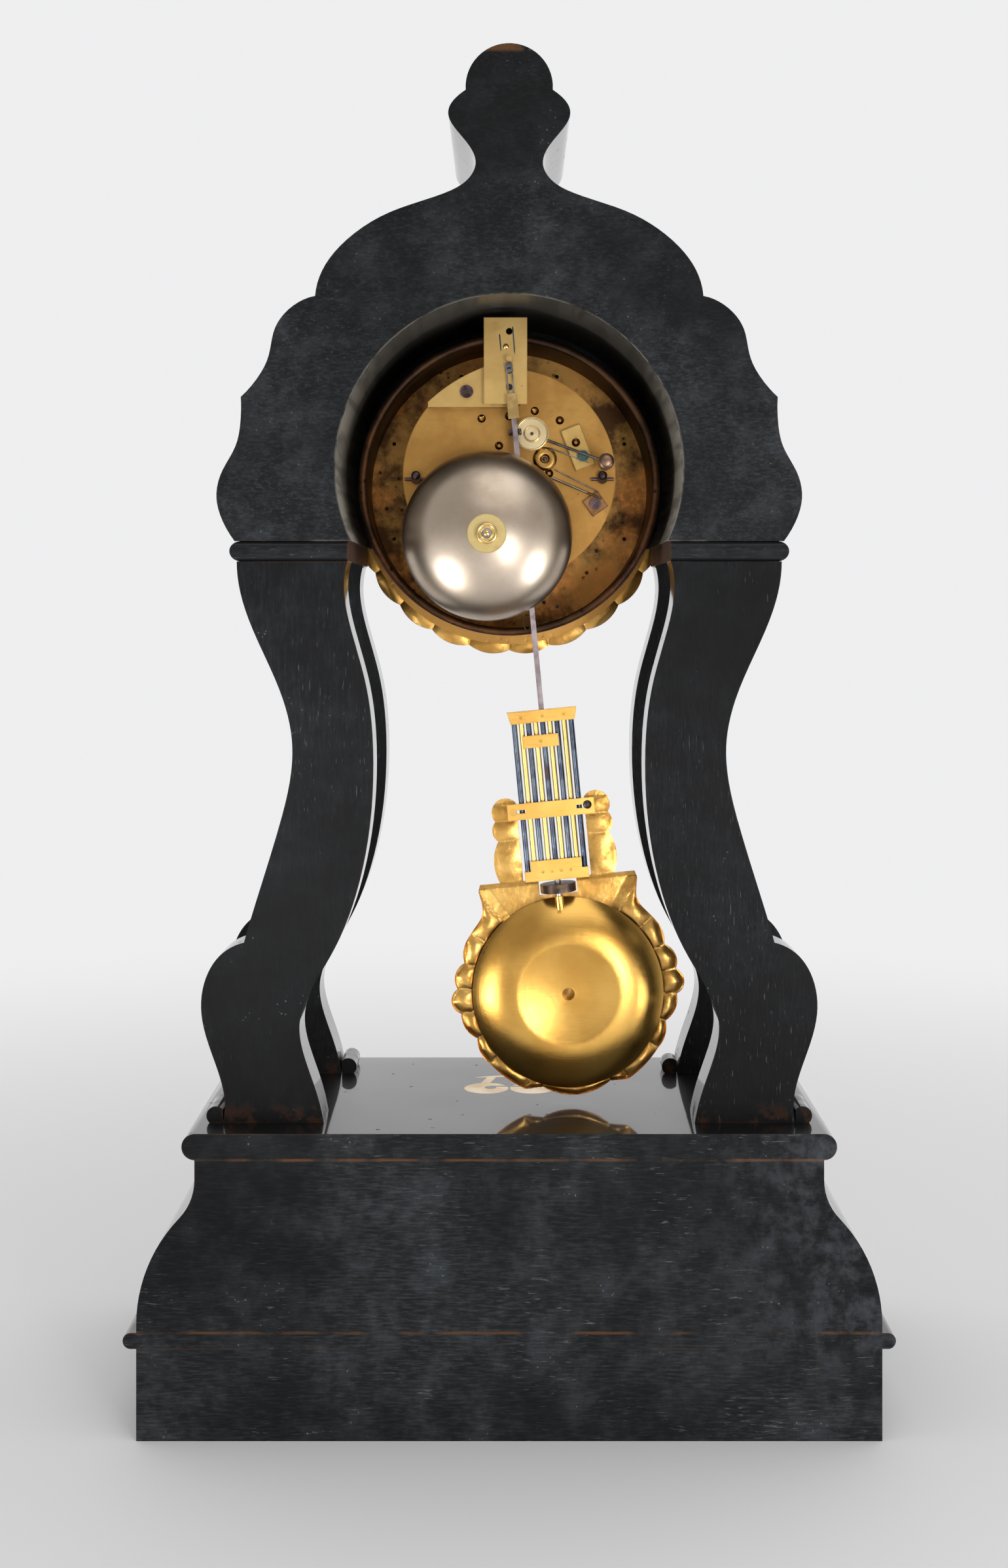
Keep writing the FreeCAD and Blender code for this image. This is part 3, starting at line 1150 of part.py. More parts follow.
hammer_end = along_wire(HAMMER_REACH, head_depth)
hammer_wire = wire(along_wire(HUB_R - 2 * WIRE_R, hub_near + WIRE_R + RUN_GAP), hammer_end, WIRE_R)
head_half = HAMMER_HEAD_L / 2
head_disc = rod(hammer_end.x, hammer_end.z, head_depth - head_half, head_depth + head_half, HAMMER_HEAD_R)
tail_near = pin_near + TAIL_LAYER
tail_len = hypot(pin_x - hub_x, pin_z - hub_z) - lift_r - LIFT_PIN_R - TAIL_GAP
tail = block(hub_x - tail_len, hub_x, hub_z - TAIL_H / 2, hub_z + TAIL_H / 2, tail_near, tail_near + TAIL_T)
tail.rotate(V(hub_x, 0, hub_z), V(0, 1, 0), -degrees(atan2(hub_z - pin_z, hub_x - pin_x)))
hub_boss = rod(hub_x, hub_z, hub_near - HUB_BOSS_T, hub_near, HUB_BOSS_SHARE * HUB_R)
hub = rod(hub_x, hub_z, hub_near, hub_far, HUB_R).fuse(hub_boss)
hammer_arbor = rod(hub_x, hub_z, hub_far, FRONT_OUT - RUN_GAP, PIVOT_R)
save("hammer", union(hub, hammer_wire, head_disc, hammer_arbor, tail))

# Hammer spring: a wire clamped in a small block at the edge of the plate
block_x, block_z = SPRING_BLOCK_AT[0], Z_PLATE + SPRING_BLOCK_AT[1]
block_near = PLATE_BACK - SPRING_BLOCK_T
half_block = SPRING_BLOCK / 2
spring_block = block(block_x - half_block, block_x + half_block, block_z - half_block, block_z + half_block,
                     block_near, PLATE_BACK)
spring_block.rotate(V(block_x, 0, block_z), V(0, 1, 0), SPRING_BLOCK_LEAN)
spring_block = spring_block.common(rod(0, Z_PLATE, block_near - 1, PLATE_BACK + 1, PLATE_R))
spring_ends = [V(x, back(block_near + SPRING_WIRE_R / 2), Z_PLATE + z) for x, z in (SPRING_FROM, SPRING_TO)]
save("hammer_spring", union(spring_block, wire(*spring_ends, SPRING_WIRE_R)))


# Screws with slotted heads, and the taper pins through the pillar ends
def slotted_screw(x, z, seat, r, lean):
    head = rod(x, z, seat - SCREW_T, seat, r)
    half = SCREW_SLOT_W / 2
    slot_far = seat - SCREW_T + SCREW_SLOT_DEPTH
    slot = block(x - 2 * r, x + 2 * r, z - half, z + half, slot_far - SCREW_T, slot_far)
    slot.rotate(V(x, 0, z), V(0, 1, 0), lean)
    return head.cut(slot)


small_screw_r = SCREW_R - SCREW_SLOT_W / 2
fasteners = [slotted_screw(*pillar_place(COCK_PILLAR), cock_near, SCREW_R, 20),
             slotted_screw(pin_x + POTENCE_SCREW[0], pin_z + POTENCE_SCREW[1], potence_near, small_screw_r, 5),
             slotted_screw(block_x, block_z, block_near, small_screw_r, 45)]
for pillar in PINNED_PILLARS:
    x, z = pillar_place(pillar)
    start = V(x - PIN_LEN / 2, back(PLATE_BACK - STUB_LEN / 2), z)
    fasteners.append(Part.makeCylinder(PIN_R, PIN_LEN, start, V(1, 0, 0)))
save("plate_fasteners", *fasteners)


# Pendulum, built hanging straight below its bending point and then swung to one side
def hung(x0, x1, top, bottom, near, far):
    """Block between two distances below the bending point."""
    return block(x0, x1, Z_PIVOT - bottom, Z_PIVOT - top, near, far)


def hung_rod(x, depth, top, bottom, r):
    """Round rod that hangs between two distances below the bending point."""
    return Part.makeCylinder(r, bottom - top, V(x, back(depth), Z_PIVOT - bottom))


def about(depth, thickness):
    return depth - thickness / 2, depth + thickness / 2


spring_top = RUN_GAP - STUD_LOW
chape_top = spring_top + SPRING_LEN
chape_bottom = chape_top + CHAPE_LEN
strips = []
for side in (-1, 1):
    x0, x1 = about(side * SPRING_PITCH / 2, SPRING_W)
    strips.append(hung(x0, x1, spring_top, chape_top, *about(PENDULUM_DEPTH, SPRING_T)))
clip = hung(*about(0, CLIP_W), spring_top, spring_top + CLIP_H, *about(PENDULUM_DEPTH, CLIP_T))
chape = hung(*about(0, CHAPE_W), chape_top, chape_bottom, *about(PENDULUM_DEPTH, CHAPE_T))
save("suspension_spring", swung(union(chape, clip, *strips)))

grid_low = GRID_TOP + TOP_BRIDGE_H
save("pendulum_rod", swung(hung(*about(0, ROD_W), chape_bottom, GRID_TOP, *about(PENDULUM_DEPTH, ROD_T))))

# Gridiron: nine rods, steel and brass by turns, between brass bridges
middle_rod = GRID_RODS // 2
bridge_half = middle_rod * GRID_PITCH + GRID_ROD_R + BRIDGE_END
bottom_top = grid_low + GRID_LEN
outer_end = bottom_top + BRIDGE_STEP
bottom_end = bottom_top + BOTTOM_BRIDGE_H
bridge_near, bridge_far = about(PENDULUM_DEPTH, BRIDGE_T)
flared = bridge_half + BRIDGE_FLARE
top_bridge = plate(loop([(-flared, Z_PIVOT - GRID_TOP), (flared, Z_PIVOT - GRID_TOP),
                         (bridge_half, Z_PIVOT - grid_low), (-bridge_half, Z_PIVOT - grid_low)]),
                   bridge_near, bridge_far)
step_half = bridge_half - GRID_PITCH + RUN_GAP
bottom_bridge = union(hung(-step_half, step_half, bottom_top, outer_end, bridge_near, bridge_far),
                      hung(-bridge_half, bridge_half, outer_end, bottom_end, bridge_near, bridge_far))
stud_top = bottom_top + STUD_IN
stud_hole = hung_rod(0, PENDULUM_DEPTH, bottom_top + STUD_IN / 3, bottom_end + 1, STUD_R + STUD_PLAY)
clamp_near = PENDULUM_DEPTH - GRID_ROD_R - STRAP_T
small_top = grid_low + SMALL_BRIDGE_DROP
small_bridge = hung(*SMALL_BRIDGE, small_top, small_top + SMALL_BRIDGE_H, clamp_near, clamp_near + STRAP_T)


def rivet(x, u, near):
    """Shallow round pit that marks a rivet in the rear face of a bridge."""
    return rod(x, Z_PIVOT - u, near - 1, near + RIVET_DEPTH, RIVET_R)


rivets = [rivet((i - 1.5) * 1.3 * GRID_PITCH, outer_end + RIVET_R, bridge_near) for i in range(4)]
rivets += [rivet((i - 1) * 3 * GRID_PITCH, GRID_TOP + TOP_BRIDGE_H / 2, bridge_near) for i in range(3)]
rivets.append(rivet(sum(SMALL_BRIDGE) / 2, small_top + SMALL_BRIDGE_H / 2, clamp_near))
bridges = [cut_all(piece, rivets) for piece in (top_bridge, bottom_bridge.cut(stud_hole), small_bridge)]
save("gridiron_bridges", *[swung(piece) for piece in bridges])

steel, brass = [], []
for i in range(GRID_RODS):
    x = (i - middle_rod) * GRID_PITCH
    outermost = i in (0, GRID_RODS - 1)
    rod_end = outer_end if outermost else bottom_top
    piece = swung(hung_rod(x, PENDULUM_DEPTH, grid_low, rod_end, GRID_ROD_R))
    (steel if i % 2 == 0 else brass).append(piece)
save("steel_rods", *steel)
save("brass_rods", *brass)

# Rating nut on the threaded stud that carries the bob
nut_top = bottom_end + NUT_GAP
nut_end = nut_top + RATING_NUT_T
bob_top = nut_end + BOB_GAP
bob_drop = bob_top + BOB_R
rating_nut = hung_rod(0, PENDULUM_DEPTH, nut_top, nut_end, RATING_NUT_R)
thread = hung_rod(0, PENDULUM_DEPTH, nut_top - 1, nut_end + 1, STUD_R + STUD_PLAY)
save("rating_nut", swung(rating_nut.cut(thread)))

# Bob: turned brass dish with a raised ring, on the surround, with the socket of the stud at its top
bob_z = Z_PIVOT - bob_drop
bob_far = PENDULUM_DEPTH + BOB_BACK
bob_near = bob_far - BOB_DEPTH
ridge = (BOB_RIDGE * BOB_R, bob_near)
rim = (BOB_R, bob_far - BOB_RIM_T)
eye_edge = (BOB_EYE_R, bob_near + 0.24 * BOB_DEPTH)
dish = turned(0, bob_z, [
    straight((BOB_EYE_R, bob_far), (BOB_R, bob_far)),
    straight((BOB_R, bob_far), rim),
    bend(rim, (0.8 * BOB_R, bob_near + 0.28 * BOB_DEPTH), ridge),
    bend(ridge, (0.28 * BOB_R, bob_near + 0.18 * BOB_DEPTH), eye_edge),
    straight(eye_edge, (BOB_EYE_R, bob_far))])
socket_end = bob_top + SOCKET_LEN
stud_end = socket_end - STUD_R
socket = hung_rod(0, PENDULUM_DEPTH, bob_top - SOCKET_WALL, socket_end, STUD_R + SOCKET_WALL)
stud_room = hung_rod(0, PENDULUM_DEPTH, bob_top - 1, stud_end, STUD_R)
save("bob_dish", swung(union(dish, socket).cut(stud_room)))
save("rating_stud", swung(hung_rod(0, PENDULUM_DEPTH, stud_top, stud_end, STUD_R)))

# Surround: stamped shell round the dish, a shelf above it and an arm up each side of the gridiron.
# Arm stations: out from the arm's inner side in shares of the dish's radius, and down in shares of its height.
# Shell stations: shares of the dish's radius, across and down from the middle of the dish.
ARM_LOBES = [(0.0, 0.08), (0.195, 0.04), (0.234, 0.28), (0.275, 0.4), (0.223, 0.51), (0.288, 0.74),
             (0.242, 1.0)]
SHELL_SIDE = [(0.836, -1.126), (0.816, -1.017), (0.818, -0.887), (0.892, -0.771), (1.006, -0.628),
              (1.052, -0.392)]
SHELL_LOBES = [(1.052, -0.392), (1.167, -0.26), (1.147, -0.128), (1.227, 0.004), (1.136, 0.13), (1.11, 0.281),
               (0.991, 0.403), (0.978, 0.541), (0.887, 0.677), (0.747, 0.829), (0.545, 0.974)]
SHELL_FOOT = [(0.357, 0.972), (0.0, 1.089)]
strap_top = grid_low + STRAP_DROP
arm_top = strap_top - ARM_OVER
shelf_top = bottom_end
arm_in = bridge_half + ARM_GAP


def scallops(points):
    """Chain of arcs: every other point joins two arcs, and the ones between lie on them."""
    return [arc(*points[i:i + 3]) for i in range(0, len(points) - 2, 2)]


def surround_side(side):
    """Outline of one half of the surround, from the inner top of its arm down to its foot."""
    arm_h = shelf_top - arm_top
    arm = [(side * (arm_in + out * BOB_R), Z_PIVOT - arm_top - share * arm_h) for out, share in ARM_LOBES]
    flank, lobes, foot = [[(side * across * BOB_R, bob_z - down * BOB_R) for across, down in stations]
                          for stations in (SHELL_SIDE, SHELL_LOBES, SHELL_FOOT)]
    shelf = (flank[1][0], arm[-1][1])
    inner = (side * arm_in, Z_PIVOT - shelf_top)
    return [line(inner, arm[0]), line(arm[-1], shelf), line(shelf, flank[0]), curve(flank),
            line(lobes[-1], foot[0])] + scallops(arm) + scallops(lobes)


foot_x, foot_z = SHELL_FOOT[0][0] * BOB_R, bob_z - SHELL_FOOT[0][1] * BOB_R
outline = surround_side(1) + surround_side(-1)
outline.append(arc((-foot_x, foot_z), (0, bob_z - SHELL_FOOT[1][1] * BOB_R), (foot_x, foot_z)))
outline.append(line((-arm_in, Z_PIVOT - shelf_top), (arm_in, Z_PIVOT - shelf_top)))
shell_far = bob_far + SURROUND_T
shell = plate(outline, bob_far, shell_far)
room_half = RATING_NUT_R + NUT_ROOM
room_end = nut_end + BOB_TRAVEL + RUN_GAP
nut_room = hung(-room_half, room_half, shelf_top - 1, room_end, bob_far - 1, shell_far + 1)
pin_u = strap_top + STRAP_H / 2
strap_half = bridge_half + STRAP_OVER
pin_x_out = strap_half - STRAP_PIN_IN
strap_near = clamp_near - RUN_GAP
strap_far = strap_near + STRAP_T
strap_pins = [rod(side * pin_x_out, Z_PIVOT - pin_u, strap_near, bob_far, STRAP_PIN_R) for side in (-1, 1)]
rosette_r = ROSETTE_SHARE * BOB_R
rosette = turned(0, bob_z, [
    straight((0, shell_far), (rosette_r, shell_far)),
    bend((rosette_r, shell_far), (rosette_r / 2, shell_far + 0.8 * ROSETTE_H), (0, shell_far + ROSETTE_H)),
    straight((0, shell_far + ROSETTE_H), (0, shell_far))])
save("bob_surround", swung(union(union(shell, rosette).cut(nut_room), *strap_pins)))

strap = hung(-strap_half, strap_half, strap_top, strap_top + STRAP_H, strap_near, strap_far)
strap_holes = []
for side in (-1, 1):
    strap_holes.append(rod(side * pin_x_out, Z_PIVOT - pin_u, strap_near - 1, strap_far + 1, STRAP_PIN_R))
    slot = sorted((side * (pin_x_out - SLOT_LEN), side * pin_x_out))
    strap_holes.append(hung(*slot, *about(pin_u, SLOT_W), strap_near - 1, strap_far + 1))
save("bob_strap", swung(cut_all(strap, strap_holes)))
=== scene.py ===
import json
from math import pi, radians

import bmesh
import bpy
import numpy as np
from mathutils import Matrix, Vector

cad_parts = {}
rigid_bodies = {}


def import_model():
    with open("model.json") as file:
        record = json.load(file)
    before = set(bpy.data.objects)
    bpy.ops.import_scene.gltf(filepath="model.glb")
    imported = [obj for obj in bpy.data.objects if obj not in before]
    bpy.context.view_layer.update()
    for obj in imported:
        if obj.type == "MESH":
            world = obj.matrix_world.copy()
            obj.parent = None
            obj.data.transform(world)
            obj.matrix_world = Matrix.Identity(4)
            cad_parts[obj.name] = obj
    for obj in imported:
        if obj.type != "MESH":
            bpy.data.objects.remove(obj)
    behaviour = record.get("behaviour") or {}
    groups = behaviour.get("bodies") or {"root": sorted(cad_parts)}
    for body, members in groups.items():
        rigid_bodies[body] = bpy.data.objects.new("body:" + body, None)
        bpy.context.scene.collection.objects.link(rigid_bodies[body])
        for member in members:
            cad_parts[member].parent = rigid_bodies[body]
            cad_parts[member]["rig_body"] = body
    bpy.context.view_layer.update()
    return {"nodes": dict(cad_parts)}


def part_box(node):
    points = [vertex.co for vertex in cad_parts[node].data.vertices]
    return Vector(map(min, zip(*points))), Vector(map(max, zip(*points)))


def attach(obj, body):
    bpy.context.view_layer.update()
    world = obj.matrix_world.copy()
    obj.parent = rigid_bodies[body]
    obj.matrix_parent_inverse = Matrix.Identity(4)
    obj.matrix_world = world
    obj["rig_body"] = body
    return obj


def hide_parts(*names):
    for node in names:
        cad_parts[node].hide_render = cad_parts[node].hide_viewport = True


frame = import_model()
nodes = frame["nodes"]


# Base: a solid ebonised plinth, a half-round bead, an ogee body and a nosed top board, glued up.
# The flat back was only stained, so it is matte and clouded; the ends, front and top are polished.
class Value:
    """A shader socket that takes part in Python expressions: each operator adds one Math node."""

    def __init__(self, tree, socket):
        self.tree = tree
        self.socket = socket

    def math(self, operation, first, second=0.0):
        node = self.tree.nodes.new("ShaderNodeMath")
        node.operation = operation
        for slot, part in zip(node.inputs, (first, second)):
            if isinstance(part, Value):
                self.tree.links.new(part.socket, slot)
            else:
                slot.default_value = part
        return Value(self.tree, node.outputs[0])

    def __add__(self, other):
        return self.math("ADD", self, other)

    def __radd__(self, other):
        return self.math("ADD", other, self)

    def __sub__(self, other):
        return self.math("SUBTRACT", self, other)

    def __rsub__(self, other):
        return self.math("SUBTRACT", other, self)

    def __mul__(self, other):
        return self.math("MULTIPLY", self, other)

    def __rmul__(self, other):
        return self.math("MULTIPLY", other, self)

    def __truediv__(self, other):
        return self.math("DIVIDE", self, other)

    def __pow__(self, other):
        return self.math("POWER", self, other)

    def __abs__(self):
        return self.math("ABSOLUTE", self)


class Finish:
    """The node tree of a material or world: node() adds any node, paint() fills the shader's sockets."""

    def __init__(self, owner):
        owner.use_nodes = True
        self.owner = owner
        self.tree = owner.node_tree

    def plug(self, socket, value):
        if isinstance(value, Value):
            self.tree.links.new(value.socket, socket)
        elif socket.type == "RGBA":
            socket.default_value = (*value, 1.0)
        else:
            socket.default_value = value

    def node(self, kind, settings, inputs, out=0):
        node = self.tree.nodes.new("ShaderNode" + kind)
        for key, value in settings.items():
            setattr(node, key, value)
        for key, value in inputs.items():
            self.plug(node.inputs[key], value)
        return Value(self.tree, node.outputs[out])

    def along(self, axis):
        """One object coordinate in metres."""
        here = self.node("TexCoord", {}, {}, "Object")
        return self.node("SeparateXYZ", {}, {0: here}, axis)

    def facing(self, axis):
        """How far the surface faces along one axis, from -1 to 1."""
        normal = self.node("TexCoord", {}, {}, "Normal")
        return self.node("SeparateXYZ", {}, {0: normal}, axis)

    def spot(self, stretch):
        """Object coordinates in metres, each axis stretched by its own factor."""
        here = self.node("TexCoord", {}, {}, "Object")
        return self.node("Mapping", {}, {"Vector": here, "Scale": stretch})

    def noise(self, scale, stretch=(1, 1, 1), detail=4.0, rough=0.55):
        sockets = {"Vector": self.spot(stretch), "Scale": scale, "Detail": detail, "Roughness": rough}
        return self.node("TexNoise", {}, sockets)

    def dots(self, scale, stretch=(1, 1, 1)):
        """Distance to the nearest of many scattered points."""
        return self.node("TexVoronoi", {}, {"Vector": self.spot(stretch), "Scale": scale})

    def step(self, value, low, high):
        """Smooth rise from 0 at low to 1 at high, or a fall where low is the larger."""
        sockets = {"Value": value, "From Min": low, "From Max": high}
        return self.node("MapRange", {"interpolation_type": "SMOOTHSTEP"}, sockets)

    def mix(self, share, first, second):
        return self.node("Mix", {"data_type": "RGBA"}, {0: share, 6: first, 7: second}, 2)

    def edge(self, reach):
        """About 0.3 on the square edges of a solid and 0 on its flats, from normals rounded over a reach."""
        rounded = self.node("Bevel", {"samples": 4}, {"Radius": reach})
        plain = self.node("NewGeometry", {}, {}, "Normal")
        return 1 - self.node("VectorMath", {"operation": "DOT_PRODUCT"}, {0: rounded, 1: plain}, "Value")

    def from_axis(self, centre):
        """Distance in metres from an axis along Y through a centre given in x and z."""
        across = self.along("X") - centre[0]
        up = self.along("Z") - centre[1]
        return (across * across + up * up) ** 0.5

    def bump(self, height, strength, distance):
        return self.node("Bump", {}, {"Height": height, "Strength": strength, "Distance": distance})

    def paint(self, **sockets):
        shader = self.tree.nodes["Principled BSDF"]
        for name, value in sockets.items():
            self.plug(shader.inputs[name.replace("_", " ")], value)
        return self.owner


def finish(name):
    """A new material, ready to be painted."""
    return Finish(bpy.data.materials.new(name))


EBONY = (0.0062, 0.0063, 0.0065)
BLOOM = (0.068, 0.077, 0.086)
SCRATCH = (0.26, 0.27, 0.28)
BARE_WOOD = (0.15, 0.068, 0.027)
WOOD_IOR = 1.2
POLISH_IOR = 1.52


def ebonised(name, grain, bloom, scratch, wear, marks):
    """Black stained wood: clouded and scratched where it faces back, glossy on every other side.

    The cloud is a wide noise broken up by a fine one stretched along the grain, the scratches are the
    crests of a second fine noise, and marks() lays the marks of one piece over them.
    """
    f = finish(name)
    rear = f.step(f.facing("Y"), 0.6, 0.9)
    cloud = f.step(f.noise(7.0, detail=9.0, rough=0.6), 0.4, 0.68)
    mottle = f.step(f.noise(60.0, detail=8.0, rough=0.7), 0.4, 0.7)
    streaks = f.step(f.noise(1000.0, grain, detail=5.0, rough=0.66), 0.42, 0.72)
    haze = (0.04 + cloud * (0.08 + mottle * 0.28) + mottle * 0.1 + streaks * (0.08 + cloud * 0.34)) * bloom
    colour = f.mix(haze, EBONY, BLOOM)
    patches = f.step(f.noise(20.0, detail=5.0), 0.44, 0.62)
    dashes = f.step(f.noise(1200.0, grain, detail=3.0, rough=0.5), 0.64, 0.7) * patches
    specks = f.step(f.dots(380.0), 0.2, 0.1) * f.step(f.noise(60.0), 0.6, 0.68)
    colour = f.mix((dashes * 0.6 + specks) * scratch, colour, SCRATCH)
    colour = f.mix(rear, EBONY, colour)
    gaps = f.step(f.noise(26.0, detail=6.0), 0.46, 0.62)
    worn = f.step(f.edge(0.0014), 0.08, 0.22) * gaps * wear
    colour = f.mix(worn, colour, BARE_WOOD)
    colour, bare = marks(f, colour)
    chips = f.step(f.dots(85.0), 0.11, 0.07) * f.step(f.noise(30.0), 0.46, 0.56)
    polish = (1 - rear) * (1 - bare) * (1 - chips * 0.8)
    smear = f.step(f.noise(24.0, detail=6.0), 0.4, 0.8)
    rough = 0.42 + rear * 0.18 - cloud * 0.06 + smear * 0.08
    height = streaks * 0.5 + dashes + specks
    return f.paint(Base_Color=colour, Roughness=rough, IOR=WOOD_IOR, Coat_Weight=polish, Coat_IOR=POLISH_IOR,
                   Coat_Roughness=0.05, Normal=f.bump(height * rear, 0.35, 0.0005))


HALVINGS = 7
WELD = 2e-6


def dress(node, coat, carve=None, spacing=0.0, angle=28):
    """Merged copy of a CAD solid, shaded smooth across its shallow edges, in the given finish.

    Where it is carved, every edge longer than the spacing is halved, round after round, and carve() takes
    all the points as one array and returns them moved.
    """
    solid = nodes[node]
    mesh = solid.data.copy()
    work = bmesh.new()
    work.from_mesh(mesh)
    bmesh.ops.remove_doubles(work, verts=work.verts, dist=WELD)
    for _ in range(HALVINGS if carve else 0):
        long_edges = [edge for edge in work.edges if edge.calc_length() > spacing]
        bmesh.ops.subdivide_edges(work, edges=long_edges, cuts=1, use_single_edge=True)
        bmesh.ops.triangulate(work, faces=[face for face in work.faces if len(face.verts) > 3])
    for face in work.faces:
        face.smooth = True
    work.to_mesh(mesh)
    work.free()
    if carve:
        places = np.empty(len(mesh.vertices) * 3)
        mesh.vertices.foreach_get("co", places)
        mesh.vertices.foreach_set("co", carve(places.reshape(-1, 3)).ravel())
    if "custom_normal" in mesh.attributes:
        mesh.attributes.remove(mesh.attributes["custom_normal"])
    mesh.set_sharp_from_angle(angle=radians(angle))
    mesh.materials.clear()
    mesh.materials.append(coat)
    piece = bpy.data.objects.new(node + "_finished", mesh)
    bpy.context.scene.collection.objects.link(piece)
    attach(piece, solid["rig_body"])
    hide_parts(node)
    return piece


def finish_node(node, coat):
    """A CAD solid whose shape is right only takes its finish."""
    mesh = nodes[node].data
    mesh.materials.clear()
    mesh.materials.append(coat)


ogee_low, ogee_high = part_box("base_ogee")
JOINT_LINE = 0.0009


def base_marks(f, colour):
    """Bare brown lines where the ogee meets the bead and the top board, and a grey cloud at one end."""
    height = f.along("Z")
    ragged = f.noise(500.0, (0.2, 1, 1), detail=4.0) * JOINT_LINE
    gaps = f.step(f.noise(46.0, detail=7.0), 0.42, 0.6)
    for joint in (ogee_low.z, ogee_high.z):
        line = f.step(abs(height - joint) + ragged, JOINT_LINE * 1.5, JOINT_LINE * 0.8) * gaps
        colour = f.mix(line * 0.75, colour, BARE_WOOD)
    end = f.step(f.along("X"), ogee_low.x * 0.35, ogee_low.x * 0.95)
    end = end * f.step(height, ogee_low.z * 0.4, ogee_low.z)
    end = end * f.step(f.noise(95.0, detail=8.0, rough=0.72), 0.4, 0.68) * f.step(f.facing("Y"), 0.6, 0.9)
    return f.mix(end * 0.55, colour, (0.095, 0.105, 0.12)), 0.0


ACROSS = (0.12, 1, 1)
base_wood = ebonised("base_ebony", ACROSS, 1.4, 0.6, 0.35, base_marks)
for name in ("base_plinth", "base_moulding", "base_ogee", "base_top"):
    dress(name, base_wood)

# Inlay: a pair of brass scrolls under a flared bar, sawn from sheet.
# It is let in flush with the top board and polished with it.
inlay = finish("inlay_brass")
inlay_tone = inlay.noise(90.0, detail=6.0)
inlay_colour = inlay.mix(inlay.step(inlay_tone, 0.3, 0.7), (0.92, 0.76, 0.54), (0.76, 0.58, 0.36))
finish_node("top_inlay", inlay.paint(Base_Color=inlay_colour, Metallic=1.0, Roughness=0.3 + inlay_tone * 0.2))

# Columns: four fretted boards in pairs, with half-round strips glued at their feet.
# Old glue has dried brown where they stand on the top board.
foot_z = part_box("base_top")[1].z
GLUE_RISE = 0.012


def column_marks(f, colour):
    """Brown glue in broken patches over the lowest part of the feet."""
    glue = f.step(f.along("Z"), foot_z + GLUE_RISE, foot_z) * f.step(f.noise(130.0, detail=6.0), 0.5, 0.6)
    return f.mix(glue * 0.8, colour, (0.05, 0.022, 0.012)), glue


UPRIGHT = (1, 1, 0.12)
column_wood = ebonised("column_ebony", UPRIGHT, 0.36, 0.35, 0.3, column_marks)
COLUMNS = ("rear_left_column", "rear_right_column", "front_left_column", "front_right_column", "foot_beads")
for name in COLUMNS:
    dress(name, column_wood)

# Capitals and head: two nosed boards carry the arched head, a thick block with a thin front board.
# The arch was sawn and left as raw wood, grey with dust at its rim; painted shade darkens it deeper in,
# towards the front, and at its top.
drum_low, drum_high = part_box("drum_ring")
drum_axis = (0.0, (drum_low.z + drum_high.z) / 2)
head_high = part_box("head_block")[1]
ARCH_REACH = 0.098
# How far in from the rim the painted shade on the arch wall deepens.
ARCH_SHADE_RUN = 0.045
FINIAL_BARE = 0.0045


def head_marks(f, colour):
    """Raw wood where the surface faces the drum's axis nearby, with painted shade deeper in and at the arch's
    top, and a bare patch on the finial's top.
    """
    across = f.along("X")
    up = f.along("Z") - drum_axis[1]
    reach = f.from_axis(drum_axis)
    inward = (f.facing("X") * across + f.facing("Z") * up) / reach
    wall = f.step(inward, -0.45, -0.75) * f.step(reach, ARCH_REACH, ARCH_REACH - 0.004)
    # Painted shade: the raw wood is lighter at the rim and darker deeper into the arch, towards the front.
    depth = f.step(f.along("Y"), head_high.y - ARCH_SHADE_RUN, head_high.y)
    saw = f.noise(160.0, (1, 0.08, 1), detail=6.0)
    raw_wood_and_shade = f.mix(depth, (0.26, 0.23, 0.185), (0.36, 0.345, 0.3))
    raw_wood_and_shade = f.mix(f.step(saw, 0.42, 0.62) * 0.6, raw_wood_and_shade, (0.06, 0.055, 0.046))
    # Painted shade: the arch wall is darker towards its top.
    raw_wood_and_shade = f.mix(f.step(up / reach, 0.15, 0.8) * 0.86, raw_wood_and_shade, (0.042, 0.04, 0.034))
    colour = f.mix(wall, colour, raw_wood_and_shade)
    rim = f.step(f.edge(0.0018), 0.1, 0.22) * f.step(reach, ARCH_REACH, ARCH_REACH - 0.004)
    colour = f.mix(rim * f.step(f.noise(90.0, detail=5.0), 0.35, 0.55), colour, (0.24, 0.22, 0.19))
    top = f.step(f.along("Z"), head_high.z - FINIAL_BARE, head_high.z - FINIAL_BARE / 2)
    top = top * f.step(f.noise(160.0, detail=4.0), 0.42, 0.55)
    return f.mix(top * 0.8, colour, BARE_WOOD), wall


head_wood = ebonised("head_ebony", (0.4, 1, 1), 1.05, 0.35, 0.2, head_marks)
for name in ("head_block", "head_front_panel"):
    dress(name, head_wood)


def capital_marks(f, colour):
    """Brown sawn ends where the boards face the drum."""
    across = f.along("X")
    inward = f.facing("X") * across / abs(across)
    sawn = f.step(inward, -0.5, -0.8)
    end_grain = f.mix(f.noise(300.0, detail=4.0), (0.05, 0.03, 0.022), (0.13, 0.08, 0.058))
    return f.mix(sawn, colour, end_grain), sawn


dress("capitals", ebonised("capital_ebony", ACROSS, 0.7, 0.35, 0.5, capital_marks))


# Drum: a spun brass tube and ring gone brown with age, closed in front by a dark brass disc.
# Heat and handling left copper-coloured blooms and black spots on the disc; the front flange is gilt.
FLANGE_FOOT = 0.0742


